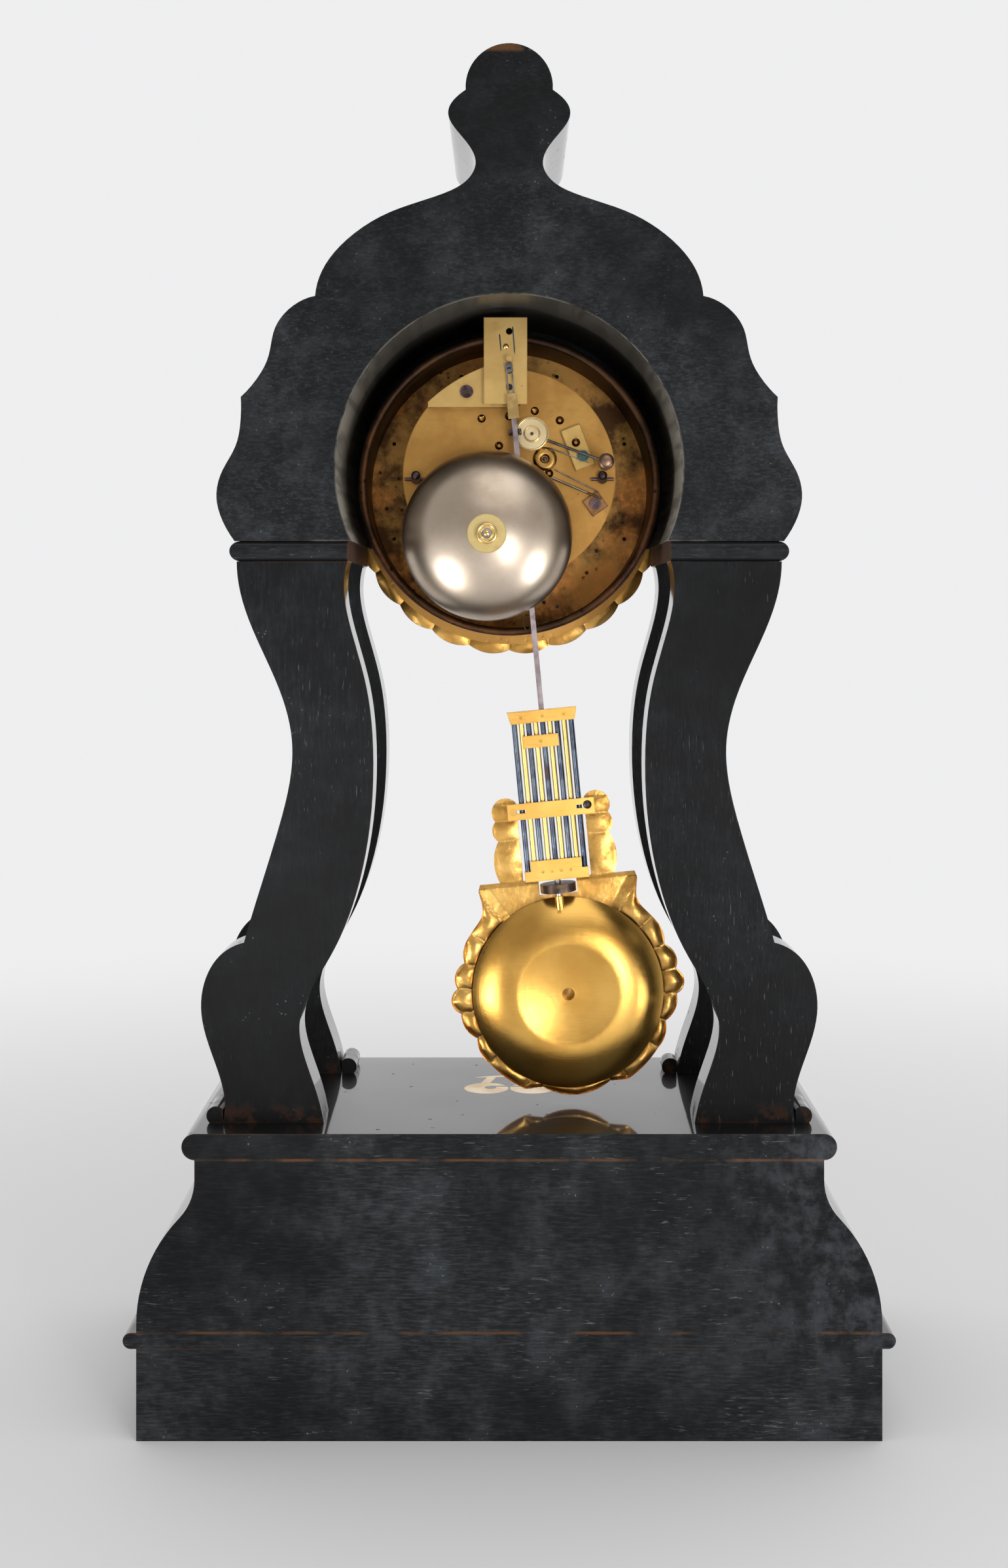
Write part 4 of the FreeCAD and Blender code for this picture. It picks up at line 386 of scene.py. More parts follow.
def aged_brass(name, light, dark, copper, rough, gilt_flange=False):
    """Old brass: two browns in wide clouds, copper stains low down, and clusters of black pits.

    A gilt flange is two golds in a fine cloud, over all that lies outside the tube.
    """
    f = finish(name)
    tone = f.step(f.noise(30.0, detail=8.0, rough=0.68), 0.42, 0.6)
    low = f.step(f.along("Z"), drum_axis[1] + 0.03, drum_axis[1] - 0.045)
    stain = f.step(f.noise(34.0, detail=7.0, rough=0.62) + low * 0.14, 0.54, 0.68)
    fine = f.step(f.noise(300.0, detail=5.0), 0.4, 0.7)
    pits = f.step(f.dots(210.0), 0.28, 0.14) * f.step(f.noise(42.0), 0.5, 0.58)
    colour = f.mix(tone, dark, light)
    colour = f.mix(stain * (0.35 + fine * 0.4), colour, copper)
    colour = f.mix(pits * 0.9, colour, (0.012, 0.008, 0.006))
    if gilt_flange:
        gold = f.mix(f.noise(120.0, detail=5.0), (0.5, 0.25, 0.06), (0.78, 0.44, 0.12))
        colour = f.mix(f.step(f.from_axis(drum_axis), FLANGE_FOOT, FLANGE_FOOT + 0.0004), colour, gold)
    return f.paint(Base_Color=colour, Metallic=0.85, Roughness=rough + tone * 0.14,
                   Normal=f.bump(fine * 0.3 - pits, 0.25, 0.0003))


ring_brass = aged_brass("ring_brass", (0.075, 0.036, 0.016), (0.026, 0.013, 0.007),
                        (0.14, 0.055, 0.022), 0.42)
drum_brass = aged_brass("drum_brass", (0.17, 0.08, 0.028), (0.055, 0.025, 0.01),
                        (0.34, 0.13, 0.04), 0.46, gilt_flange=True)
disc_brass = aged_brass("disc_brass", (0.66, 0.36, 0.1), (0.1, 0.045, 0.016), (1.0, 0.41, 0.1), 0.38)
dress("drum", drum_brass)
dress("drum_ring", ring_brass)
finish_node("dial_plate", disc_brass)


# Movement: brass plates, wheels, cock, bracket and potence, brushed to a satin finish.
# The oil sinks round the pivots and every face that does not face along Y are darkened as painted shade, and
# the edges are darkened as grime together with painted shade.
def satin_brass(name, light, dark, rough, grime_and_shade):
    """Brass with a soft cloud, short brush lines, brown spots on the flats, painted shade in the hollows and
    on every side, and edges darkened as grime and painted shade.
    """
    f = finish(name)
    flat = f.step(abs(f.facing("Y")), 0.95, 0.99)
    tone = f.step(f.noise(46.0, detail=7.0, rough=0.6), 0.38, 0.68)
    brushed = f.noise(1300.0, (0.07, 1, 1), detail=2.0)
    spots = f.step(f.dots(260.0), 0.15, 0.05) * f.step(f.noise(50.0), 0.55, 0.66)
    stain = f.step(f.noise(60.0, detail=5.0), 0.6, 0.72)
    colour = f.mix(tone, dark, light)
    colour = f.mix(stain * 0.3, colour, (0.36, 0.17, 0.06))
    colour = f.mix(spots * flat * 0.8, colour, (0.1, 0.05, 0.02))
    # Painted shade: every face that does not face along Y, such as the sink hollows and the sides, is dark
    # brown.
    colour = f.mix(flat, (0.24, 0.135, 0.042), colour)
    # Darkened edges: grime together with painted shade from the gaps round each piece, as strong as the last
    # argument.
    colour = f.mix(f.step(f.edge(0.0011), 0.04, 0.16) * grime_and_shade, colour, (0.045, 0.026, 0.012))
    smooth = 0.14 + flat * (rough - 0.14 + brushed * 0.16 + spots * 0.2)
    return f.paint(Base_Color=colour, Metallic=1.0, Roughness=smooth,
                   Normal=f.bump(brushed * flat, 0.15, 0.0001))


plate_brass = satin_brass("plate_brass", (0.58, 0.325, 0.092), (0.44, 0.23, 0.062), 0.3, 0.4)
cock_brass = satin_brass("cock_brass", (0.74, 0.51, 0.19), (0.64, 0.42, 0.15), 0.32, 0.3)
MOVEMENT = ("back_plate", "front_plate", "going_barrel", "strike_barrel", "going_second_wheel",
            "strike_second_wheel", "centre_wheel", "third_wheel", "escape_wheel", "pin_wheel", "fly",
            "cannon_pinion", "minute_wheel", "hour_wheel")
for name in MOVEMENT:
    finish_node(name, plate_brass)
# The potence's edges are darkened strongly as a painted shadow of the gap round it on the plate.
potence_brass = satin_brass("potence_brass", (0.74, 0.5, 0.18), (0.58, 0.37, 0.12), 0.3, 0.95)
finish_node("pin_wheel_potence", potence_brass)
for name in ("pallet_cock", "suspension_bracket"):
    finish_node(name, cock_brass)


# Steelwork: winding arbors, anchor, crutch, hinge pin, bell post and hands, of drawn or cut steel.
# Most of it is dull grey; the crutch has gone dark and the hands are blued by heat.
def steel(name, light, dark, rough):
    """Drawn steel: two tones in a fine cloud, and draw lines along Z."""
    f = finish(name)
    tone = f.step(f.noise(140.0, detail=6.0), 0.35, 0.65)
    lines = f.noise(1400.0, (1, 1, 0.05), detail=2.0)
    rust = f.step(f.noise(90.0, detail=7.0), 0.62, 0.72)
    colour = f.mix(rust * 0.5, f.mix(tone, dark, light), (0.1, 0.045, 0.025))
    return f.paint(Base_Color=colour, Metallic=1.0, Roughness=rough + lines * 0.2 + rust * 0.15,
                   Normal=f.bump(lines, 0.1, 0.0001))


grey_steel = steel("grey_steel", (0.46, 0.43, 0.42), (0.24, 0.22, 0.22), 0.28)
dark_steel = steel("dark_steel", (0.12, 0.085, 0.085), (0.05, 0.038, 0.04), 0.3)
blue_steel = steel("blue_steel", (0.05, 0.075, 0.15), (0.02, 0.03, 0.06), 0.22)
GREY_PIECES = ("going_winding_arbor", "strike_winding_arbor", "anchor", "hinge_pin", "rating_stud",
               "bell_post")
for name in GREY_PIECES:
    finish_node(name, grey_steel)
finish_node("crutch", dark_steel)
for name in ("hour_hand", "minute_hand"):
    finish_node(name, blue_steel)

# Plate screws and hammer spring: slotted steel heads gone purple-brown, one of them blue-green.
# The spring is a wire clamped in a small brown block at the edge of the back plate, with painted shade along
# the block's edges.
POTENCE_SCREW = (-0.0359, 0.4538)
SCREW_REACH = 0.003
heads = finish("screw_steel")
heads_tone = heads.step(heads.noise(180.0, detail=5.0), 0.35, 0.65)
heads_blue = heads.step(heads.from_axis(POTENCE_SCREW), SCREW_REACH, SCREW_REACH - 0.0002)
heads_colour = heads.mix(heads_tone, (0.07, 0.045, 0.05), (0.19, 0.125, 0.13))
blue_head = heads.mix(heads_tone, (0.03, 0.07, 0.075), (0.08, 0.16, 0.16))
heads_colour = heads.mix(heads_blue, heads_colour, blue_head)
heads_worn = heads.step(heads.edge(0.0004), 0.05, 0.2)
heads_colour = heads.mix(heads_worn * 0.5, heads_colour, (0.4, 0.34, 0.3))
finish_node("plate_fasteners", heads.paint(Base_Color=heads_colour, Metallic=1.0,
                                           Roughness=0.26 + heads_tone * 0.1))

BLOCK_CENTRE = (-0.042, 0.4305)
BLOCK_REACH = 0.0068
flexed = finish("spring_metal")
flexed_tone = flexed.step(flexed.noise(140.0, detail=6.0), 0.35, 0.65)
flexed_block = flexed.step(flexed.from_axis(BLOCK_CENTRE), BLOCK_REACH, BLOCK_REACH - 0.0002)
flexed_colour = flexed.mix(flexed_tone, (0.3, 0.26, 0.2), (0.5, 0.44, 0.36))
block_colour = flexed.mix(flexed_tone, (0.2, 0.1, 0.045), (0.36, 0.19, 0.085))
block_edge_shade = flexed.step(flexed.edge(0.0011), 0.04, 0.16)
# Painted shade: a dark line along the block's edges.
block_colour = flexed.mix(block_edge_shade * 0.9, block_colour, (0.04, 0.022, 0.012))
flexed_colour = flexed.mix(flexed_block, flexed_colour, block_colour)
finish_node("hammer_spring", flexed.paint(Base_Color=flexed_colour, Metallic=1.0,
                                          Roughness=0.3 + flexed_tone * 0.1))

# Pillars: turned brass posts that hold the two plates apart.
# Their ends pass through the back plate, stand brown behind it, and are pinned there.
plate_low, plate_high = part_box("back_plate")
post = finish("pillar_brass")
post_tone = post.noise(160.0, detail=5.0)
post_end = post.step(post.along("Y"), plate_high.y - 0.0004, plate_high.y)
post_colour = post.mix(post_tone, (0.5, 0.28, 0.08), (0.66, 0.4, 0.13))
post_colour = post.mix(post_end, post_colour, (0.07, 0.04, 0.025))
finish_node("pillars", post.paint(Base_Color=post_colour, Metallic=1.0, Roughness=0.25 + post_tone * 0.15))

# Bell hammer: a turned brass hub on its arbor, a steel wire and a rounded copper head.
# The hub shows the rings of the lathe, and the head is dark with handling.
hammer_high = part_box("hammer")[1]
HUB_CENTRE = (-0.011, drum_axis[1] + 0.025)
HUB_REACH = 0.0088
HEAD_CENTRE = (-0.0463, drum_axis[1] + 0.0102)
HEAD_REACH = 0.0052
HEAD_RING_R = 0.0028
arm = finish("hammer_metal")
hub_r = arm.from_axis(HUB_CENTRE)
hub = arm.step(hub_r, HUB_REACH, HUB_REACH - 0.0003)
head_r = arm.from_axis(HEAD_CENTRE)
head = arm.step(head_r, HEAD_REACH, HEAD_REACH - 0.0003)
turned = arm.node("TexNoise", {"noise_dimensions": "1D"}, {"W": hub_r, "Scale": 4000.0, "Detail": 3.0})
eye = arm.step(hub_r, 0.001, 0.0007)
arm_tone = arm.step(arm.noise(140.0, detail=6.0), 0.35, 0.65)
arm_colour = arm.mix(arm_tone, (0.2, 0.19, 0.18), (0.36, 0.34, 0.33))
arm_colour = arm.mix(hub, arm_colour, arm.mix(turned, (0.72, 0.56, 0.3), (0.86, 0.72, 0.46)))
arm_colour = arm.mix(eye, arm_colour, (0.1, 0.06, 0.03))
head_colour = arm.mix(arm.noise(300.0), (0.2, 0.11, 0.07), (0.36, 0.23, 0.15))
head_ring = arm.step(abs(head_r - HEAD_RING_R), 0.0006, 0.0002)
head_colour = arm.mix(head_ring * 0.7, head_colour, (0.05, 0.03, 0.02))
arm_colour = arm.mix(head, arm_colour, head_colour)
finish_node("hammer", arm.paint(Base_Color=arm_colour, Metallic=1.0, Roughness=0.26 + turned * 0.14,
                                Normal=arm.bump(turned * hub, 0.2, 0.0002)))


# Bell: a thin cup of bell metal, cast and turned, silvery with a warm cast and a light tarnish.
# It stands on a post, held by a brass washer and nut.
def sheet_mesh(name, points, wrap_u, wrap_v):
    """Mesh of a grid of points [u, v, xyz], facing along its u step crossed with its v step.

    A wrapped direction joins its last row to its first.
    """
    rows, columns = points.shape[:2]
    index = np.arange(rows * columns).reshape(rows, columns)
    lower = index if wrap_u else index[:-1]
    upper = np.roll(index, -1, axis=0) if wrap_u else index[1:]
    if wrap_v:
        quads = np.stack([lower, upper, np.roll(upper, -1, 1), np.roll(lower, -1, 1)], axis=-1)
    else:
        quads = np.stack([lower[:, :-1], upper[:, :-1], upper[:, 1:], lower[:, 1:]], axis=-1)
    mesh = bpy.data.meshes.new(name)
    mesh.from_pydata(points.reshape(-1, 3).tolist(), [], quads.reshape(-1, 4).tolist())
    mesh.polygons.foreach_set("use_smooth", np.ones(len(mesh.polygons), bool))
    return mesh


def add_piece(name, mesh, coat, body, slot, *stands_for):
    """A new piece that rides on a body and may stand for CAD nodes."""
    mesh.materials.append(coat)
    piece = bpy.data.objects.new(name, mesh)
    bpy.context.scene.collection.objects.link(piece)
    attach(piece, body)
    if stands_for:
        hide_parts(*stands_for)
    return piece


def spun(name, profile, centre, turns=128):
    """Closed profile of (radius, y) points, run forwards along its outside, carried round an axis along Y."""
    turn = np.linspace(0, 2 * pi, turns, endpoint=False)[:, None]
    radius, depth = np.asarray(profile, float).T
    points = np.stack([centre[0] + radius * np.cos(turn), np.broadcast_to(depth, (turns, len(depth))),
                       centre[1] + radius * np.sin(turn)], axis=-1)
    return sheet_mesh(name, points, True, True)


bell_low, bell_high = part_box("bell")
bell_r = (bell_high.x - bell_low.x) / 2
bell_centre = ((bell_low.x + bell_high.x) / 2, (bell_low.z + bell_high.z) / 2)
BELL_WALL = 0.0016
POST_BORE = 0.0023
sweep = np.linspace(0.06, pi / 2, 48)
rise = bell_high.y - bell_low.y
outer = np.stack([bell_r * np.sin(sweep), bell_low.y + rise * np.cos(sweep) ** 0.98], axis=-1)
inner_r = bell_r - BELL_WALL
inner = np.stack([inner_r * np.sin(sweep), bell_low.y + (rise - BELL_WALL) * np.cos(sweep)], axis=-1)
bell_profile = np.concatenate([outer, inner[::-1]])
bell_profile[0, 0] = POST_BORE
bell_profile[-1, 0] = POST_BORE
silver = finish("bell_silver")
silver_r = silver.from_axis(bell_centre)
lathe = silver.node("TexNoise", {"noise_dimensions": "1D"}, {"W": silver_r, "Scale": 5200.0, "Detail": 3.0})
tarnish = silver.step(silver.noise(34.0, detail=7.0, rough=0.62), 0.4, 0.72)
marks = silver.step(silver.dots(150.0), 0.07, 0.02) * silver.step(silver.noise(30.0), 0.5, 0.6)
silver_colour = silver.mix(tarnish * 0.7, (0.58, 0.485, 0.39), (0.4, 0.31, 0.225))
silver_colour = silver.mix(marks * 0.7, silver_colour, (0.12, 0.1, 0.08))
bell_finish = silver.paint(Base_Color=silver_colour, Metallic=1.0, Roughness=0.31 + tarnish * 0.06,
                           Normal=silver.bump(lathe, 0.06, 0.0001))
add_piece("bell_cup", spun("bell_cup", bell_profile, bell_centre), bell_finish, "case", "bell_metal", "bell")
finish_node("bell_nut", satin_brass("nut_brass", (0.84, 0.66, 0.3), (0.72, 0.52, 0.2), 0.26, 0.4))


# Small fittings: rings turned on the bell nut and hammer hub, a dome on the hammer's head, a collet and two
# wires on the back plate, a peg and blued slide edges on the bracket, domed pillar ends, and a bent wire
# that clips the ring to the drum.
POLE_WELD = 1e-7
SINK_IN = 0.0001
POST_END_R, POST_END_H = 0.0015, 0.0009
DOME_R, DOME_H = 0.0038, 0.0016
PIVOT_R, PIVOT_H = 0.0013, 0.0006
PEG_R, PEG_H = 0.0014, 0.0009
PILLAR_END_R, PILLAR_END_H = 0.0022, 0.0013


def welded(mesh):
    """The mesh with the points that meet at its poles made one."""
    work = bmesh.new()
    work.from_mesh(mesh)
    bmesh.ops.remove_doubles(work, verts=work.verts, dist=POLE_WELD)
    work.to_mesh(mesh)
    work.free()
    return mesh


def button(name, centre, seat, radius, height):
    """Half an ellipsoid standing back from a seat at y, with a flat underside."""
    swing = np.linspace(0, pi / 2, 10)
    profile = np.stack([radius * np.sin(swing), seat + height * np.cos(swing)], axis=-1)
    return welded(spun(name, np.concatenate([profile, [(0.0, seat)]]), centre, 32))


def collar(name, centre, seat, radius, thick):
    """Ring of round section lying on a seat at y."""
    swing = np.linspace(0, 2 * pi, 14, endpoint=False)
    profile = np.stack([radius + thick * np.sin(swing), seat + thick * 0.8 * np.cos(swing)], axis=-1)
    return spun(name, profile, centre, 48)


def wire(name, path, radius, closed):
    """Round wire: a circle carried along a path, drawn in to a point at each open end."""
    ahead = np.roll(path, -1, 0) - np.roll(path, 1, 0) if closed else np.gradient(path, axis=0)
    ahead = ahead / np.linalg.norm(ahead, axis=1, keepdims=True)
    side = np.cross(ahead, (0, 1, 0))
    side = side / np.linalg.norm(side, axis=1, keepdims=True)
    out = np.cross(side, ahead)
    turn = np.linspace(0, 2 * pi, 12, endpoint=False)[:, None]
    size = np.full((len(path), 1, 1), radius)
    if not closed:
        size[[0, -1]] = 0.0
    points = path[:, None] + size * (np.cos(turn) * side[:, None] + np.sin(turn) * out[:, None])
    return welded(sheet_mesh(name, points, closed, True))


def straight_wire(name, start, end, radius):
    """Round wire along the straight line between two places."""
    run = np.linspace(0, 1, 12)[:, None]
    ends = np.array([start, end])
    return wire(name, ends[0] + (ends[1] - ends[0]) * run, radius, False)


nut_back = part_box("bell_nut")[1].y
NUT_RINGS = ((0.0042, 0.0008), (0.0026, 0.0004))
turned_brass = finish("polished_brass")
turned_tone = turned_brass.noise(200.0, detail=3.0)
turned_colour = turned_brass.mix(turned_tone, (0.72, 0.48, 0.18), (0.88, 0.66, 0.3))
polished = turned_brass.paint(Base_Color=turned_colour, Metallic=1.0, Roughness=0.13 + turned_tone * 0.1)
for number, (ring_r, ring_t) in enumerate(NUT_RINGS):
    ring_name = "bell_nut_ring_" + str(number + 1)
    add_piece(ring_name, collar(ring_name, bell_centre, nut_back, ring_r, ring_t), polished, "case", "brass")
post_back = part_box("bell_post")[1].y
post_end_mesh = button("bell_post_end", bell_centre, post_back - 2 * SINK_IN, POST_END_R, POST_END_H)
add_piece("bell_post_end", post_end_mesh, polished, "case", "brass")

PLATE_BACK = plate_high.y
HUB_BACK = PLATE_BACK + 0.004
HUB_RINGS = ((0.0037, 0.00045), (0.0076, 0.0004))
for number, (ring_r, ring_t) in enumerate(HUB_RINGS):
    ring_name = "hub_ring_" + str(number + 1)
    add_piece(ring_name, collar(ring_name, HUB_CENTRE, HUB_BACK, ring_r, ring_t), polished,
              nodes["hammer"]["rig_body"], "brass")

dome_mesh = button("hammer_dome", HEAD_CENTRE, hammer_high.y - SINK_IN, DOME_R, DOME_H)
add_piece("hammer_dome", dome_mesh, arm.owner, nodes["hammer"]["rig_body"], "steel")

COLLET_CENTRE = (-0.0174, 0.4525)
COLLET_R, COLLET_T, COLLET_EYE = 0.0058, 0.0011, 0.0016
collet_profile = [(COLLET_EYE, PLATE_BACK), (COLLET_EYE, PLATE_BACK + COLLET_T * 0.6),
                  (COLLET_EYE * 1.5, PLATE_BACK + COLLET_T), (COLLET_R * 0.93, PLATE_BACK + COLLET_T),
                  (COLLET_R, PLATE_BACK + COLLET_T * 0.6), (COLLET_R, PLATE_BACK)]
collet_mesh = spun("strike_collet", collet_profile, COLLET_CENTRE, 64)
add_piece("strike_collet", collet_mesh, plate_brass, "case", "brass")
pivot_mesh = button("strike_pivot", COLLET_CENTRE, PLATE_BACK - SINK_IN, PIVOT_R, PIVOT_H)
add_piece("strike_pivot", pivot_mesh, dark_steel, "case", "steel")
GUARD_WIRE_R = 0.0003
GUARD_WIRES = (((-0.0190, 0.4580), (-0.0390, 0.4505)), ((-0.0215, 0.4475), (-0.0440, 0.4360)))
GUARD_START, GUARD_END = PLATE_BACK + 0.0024, PLATE_BACK + 0.0031
for number, (start, end) in enumerate(GUARD_WIRES):
    wire_name = "guard_wire_" + str(number + 1)
    guard_mesh = straight_wire(wire_name, (start[0], GUARD_START, start[1]),
                               (end[0], GUARD_END, end[1]), GUARD_WIRE_R)
    add_piece(wire_name, guard_mesh, grey_steel, "case", "steel")

BRACKET_BACK = PLATE_BACK + 0.0085
BRACKET_PEG = (0.0016, 0.5064)
peg_mesh = button("bracket_peg", BRACKET_PEG, BRACKET_BACK, PEG_R, PEG_H)
add_piece("bracket_peg", peg_mesh, polished, "case", "brass")
SLIDE_R = 0.00032
SLIDE_EDGES = (((0.0047, 0.5127), (0.0040, 0.5040)), ((-0.0016, 0.5166), (-0.0027, 0.5024)))
slide_blue = steel("slide_blue", (0.12, 0.24, 0.3), (0.06, 0.13, 0.18), 0.24)
for number, (upper, lower) in enumerate(SLIDE_EDGES):
    edge_name = "slide_edge_" + str(number + 1)
    edge_mesh = straight_wire(edge_name, (upper[0], BRACKET_BACK, upper[1]),
                              (lower[0], BRACKET_BACK, lower[1]), SLIDE_R)
    add_piece(edge_name, edge_mesh, slide_blue, "case", "blued_steel")

plate_centre_z = (plate_low.z + plate_high.z) / 2
PILLAR_ENDS = ((0.0455, -0.002), (-0.0455, -0.002))
PILLAR_SEAT = PLATE_BACK + 0.0038
for number, (x, z) in enumerate(PILLAR_ENDS):
    end_name = "pillar_end_" + str(number + 1)
    end_mesh = button(end_name, (x, plate_centre_z + z), PILLAR_SEAT, PILLAR_END_R, PILLAR_END_H)
    add_piece(end_name, end_mesh, dark_steel, "case", "steel")

CLIP_CENTRE = (-0.0088, 0.3726)
CLIP_HALF = (0.0017, 0.0036)
CLIP_WIRE = 0.00045
around = np.linspace(0, 2 * pi, 40, endpoint=False)
clip_depth = np.full_like(around, drum_high.y + CLIP_WIRE * 0.8)
clip_path = np.stack([CLIP_CENTRE[0] + CLIP_HALF[0] * np.cos(around), clip_depth,
                      CLIP_CENTRE[1] + CLIP_HALF[1] * np.sin(around)], axis=-1)
clip_mesh = wire("dust_ring_clip", clip_path, CLIP_WIRE, True)
add_piece("dust_ring_clip", clip_mesh, ring_brass, "case", "aged_brass")

# Pendulum: a steel strip hung by its spring, then a gridiron of steel and brass rods between brass bridges.
# The spring is clamped in a brass chape, and the rods are blued steel and bright brass by turns.
finish_node("pendulum_rod", steel("strip_steel", (0.4, 0.34, 0.35), (0.22, 0.17, 0.18), 0.3))
CHAPE_TOP = 0.4834
hanger = finish("suspension_metal")
hanger_tone = hanger.step(hanger.noise(140.0, detail=6.0), 0.35, 0.65)
chape = hanger.step(hanger.along("Z"), CHAPE_TOP, CHAPE_TOP - 0.0002)
hanger_colour = hanger.mix(hanger_tone, (0.14, 0.14, 0.15), (0.34, 0.33, 0.33))
chape_colour = hanger.mix(hanger_tone, (0.62, 0.42, 0.16), (0.8, 0.58, 0.26))
hanger_colour = hanger.mix(chape, hanger_colour, chape_colour)
finish_node("suspension_spring", hanger.paint(Base_Color=hanger_colour, Metallic=1.0,
                                              Roughness=0.24 + hanger_tone * 0.12))
finish_node("steel_rods", steel("rod_steel", (0.13, 0.16, 0.21), (0.05, 0.06, 0.09), 0.2))
bright_brass = satin_brass("bright_brass", (0.98, 0.58, 0.15), (0.88, 0.48, 0.11), 0.22, 0.35)
for name in ("gridiron_bridges", "bob_strap"):
    finish_node(name, bright_brass)
rod_brass = finish("rod_brass")
rod_tone = rod_brass.noise(200.0, (1, 1, 0.2), detail=5.0)
rod_colour = rod_brass.mix(rod_tone, (0.9, 0.56, 0.16), (1.0, 0.74, 0.28))
finish_node("brass_rods", rod_brass.paint(Base_Color=rod_colour, Metallic=1.0,
                                          Roughness=0.38 + rod_tone * 0.1))

# Strap screw and rating nut: a dark domed steel head in one slot of the bob's strap.
# The nut is a round steel drum, brown with age, on the stud that carries the bob.
strap_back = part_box("bob_strap")[1].y
STRAP_SCREW = (-0.0376, 0.2851)
STRAP_SCREW_R, STRAP_SCREW_H = 0.0021, 0.0011
screw_mesh = button("strap_screw", STRAP_SCREW, strap_back - SINK_IN, STRAP_SCREW_R, STRAP_SCREW_H)
add_piece("strap_screw", screw_mesh, dark_steel, nodes["bob_strap"]["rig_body"], "steel")
finish_node("rating_nut", steel("nut_steel", (0.16, 0.11, 0.08), (0.06, 0.04, 0.03), 0.34))

# Bob: a spun brass dish, lacquered and bright, fixed on a stamped and gilded surround.
# The surround has puffy leaves round the dish, an arm up each side of the gridiron, and a fluted rosette
# on the side of the dial.
dish_low, dish_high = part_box("bob_dish")
dish_r = (dish_high.x - dish_low.x) / 2
dish_centre = ((dish_low.x + dish_high.x) / 2, dish_low.z + dish_r)
gilt = finish("dish_gilt")
gilt_r = gilt.from_axis(dish_centre)
spin = gilt.node("TexNoise", {"noise_dimensions": "1D"}, {"W": gilt_r, "Scale": 3800.0, "Detail": 4.0})
rubbed = gilt.noise(900.0, (0.05, 1, 1), detail=3.0)
gilt_tone = gilt.step(gilt.noise(26.0, detail=6.0), 0.38, 0.68)
smuts = gilt.step(gilt.noise(80.0, (0.4, 1, 1), detail=6.0), 0.62, 0.72)
gilt_colour = gilt.mix(gilt_tone, (0.8, 0.47, 0.115), (0.62, 0.33, 0.07))
gilt_colour = gilt.mix(smuts * 0.6, gilt_colour, (0.3, 0.13, 0.03))
dish_finish = gilt.paint(Base_Color=gilt_colour, Metallic=1.0, Roughness=0.19 + rubbed * 0.1,
                         Normal=gilt.bump(spin + rubbed, 0.14, 0.0002))
dress("bob_dish", dish_finish)


def stamped_gilt(name, centre, foot_r, dirt_and_shade):
    """Stamped gilding: a soft cloud of two golds with faint veins, dirty in patches, with painted shade
    inside a circle round the foot.
    """
    f = finish(name)
    tone = f.step(f.noise(60.0, detail=6.0, rough=0.6), 0.36, 0.66)
    veins = f.dots(300.0, (1, 0.4, 1))
    foot_shade = f.step(f.from_axis(centre), foot_r * 1.09, foot_r * 0.99)
    dirt = f.step(f.noise(110.0, detail=6.0), 0.48, 0.66)
    colour = f.mix(tone, (0.62, 0.33, 0.075), (0.86, 0.52, 0.15))
    # Dirt in patches, and painted shade inside the circle, next to the dish's rim or the bezel's foot.
    colour = f.mix((foot_shade * 0.6 + dirt * 0.5) * dirt_and_shade, colour, (0.17, 0.075, 0.02))
    return f.paint(Base_Color=colour, Metallic=1.0, Roughness=0.28 + dirt * 0.16,
                   Normal=f.bump(tone * 0.6 + veins * 0.3, 0.22, 0.0008))


SWING = radians(5.4)
SHELL_REAR = dish_low.y
SHELL_FRONT = SHELL_REAR - 0.003
REAR_PRESS, FRONT_PRESS = 0.0016, 0.0009
FACE_NEAR = 1e-5
SHELL_RIM = 0.97
SHELL_SPACING = 0.0011
SHELL_STATIONS = ((0.836, -1.126), (0.816, -1.017), (0.818, -0.887), (0.892, -0.771), (1.006, -0.628),
                  (1.052, -0.392), (1.167, -0.26), (1.147, -0.128), (1.227, 0.004), (1.136, 0.13),
                  (1.11, 0.281), (0.991, 0.403), (0.978, 0.541), (0.887, 0.677), (0.747, 0.829),
                  (0.545, 0.974), (0.357, 0.972), (0.0, 1.089))
LEAF_JOINTS = (-52.0, -36.0, -20.4, -6.4, 6.5, 22.1, 37.4, 60.8, 69.8, 110.2)
ARM_JOINTS = (-2.017, -1.838, -1.632, -1.193)
ARM_MIDDLE, ARM_HALF, ARM_SHARE = 0.482, 0.14, 0.5
RIM_FROM, RIM_FADE = 0.93, 0.05
LEAVES_FROM, LEAVES_FADE = -58.0, 6.0
ARM_FROM, ARM_FADE = 1.15, 0.06
ROSETTE_R, ROSETTE_FADE = 0.86, 0.08
ROSETTE_EYE, EYE_FADE = 0.15, 0.3
FLUTES, FLUTE_DEPTH = 16, 0.0009
station_across, station_down = np.array(SHELL_STATIONS).T
station_angle = np.degrees(np.arctan2(station_down, station_across))
station_reach = np.hypot(station_across, station_down)


def fade_in(value, start, length):
    """0 up to the start and 1 from a length beyond it, in a straight line between."""
    return np.clip((value - start) / length, 0, 1)


def swell(phase, share):
    """A half sine to the power 0.6 between whole phases, times a parabola that is 0 at shares -1 and 1."""
    return np.abs(np.sin(pi * phase)) ** 0.6 * (1 - np.clip(share, -1, 1) ** 2)


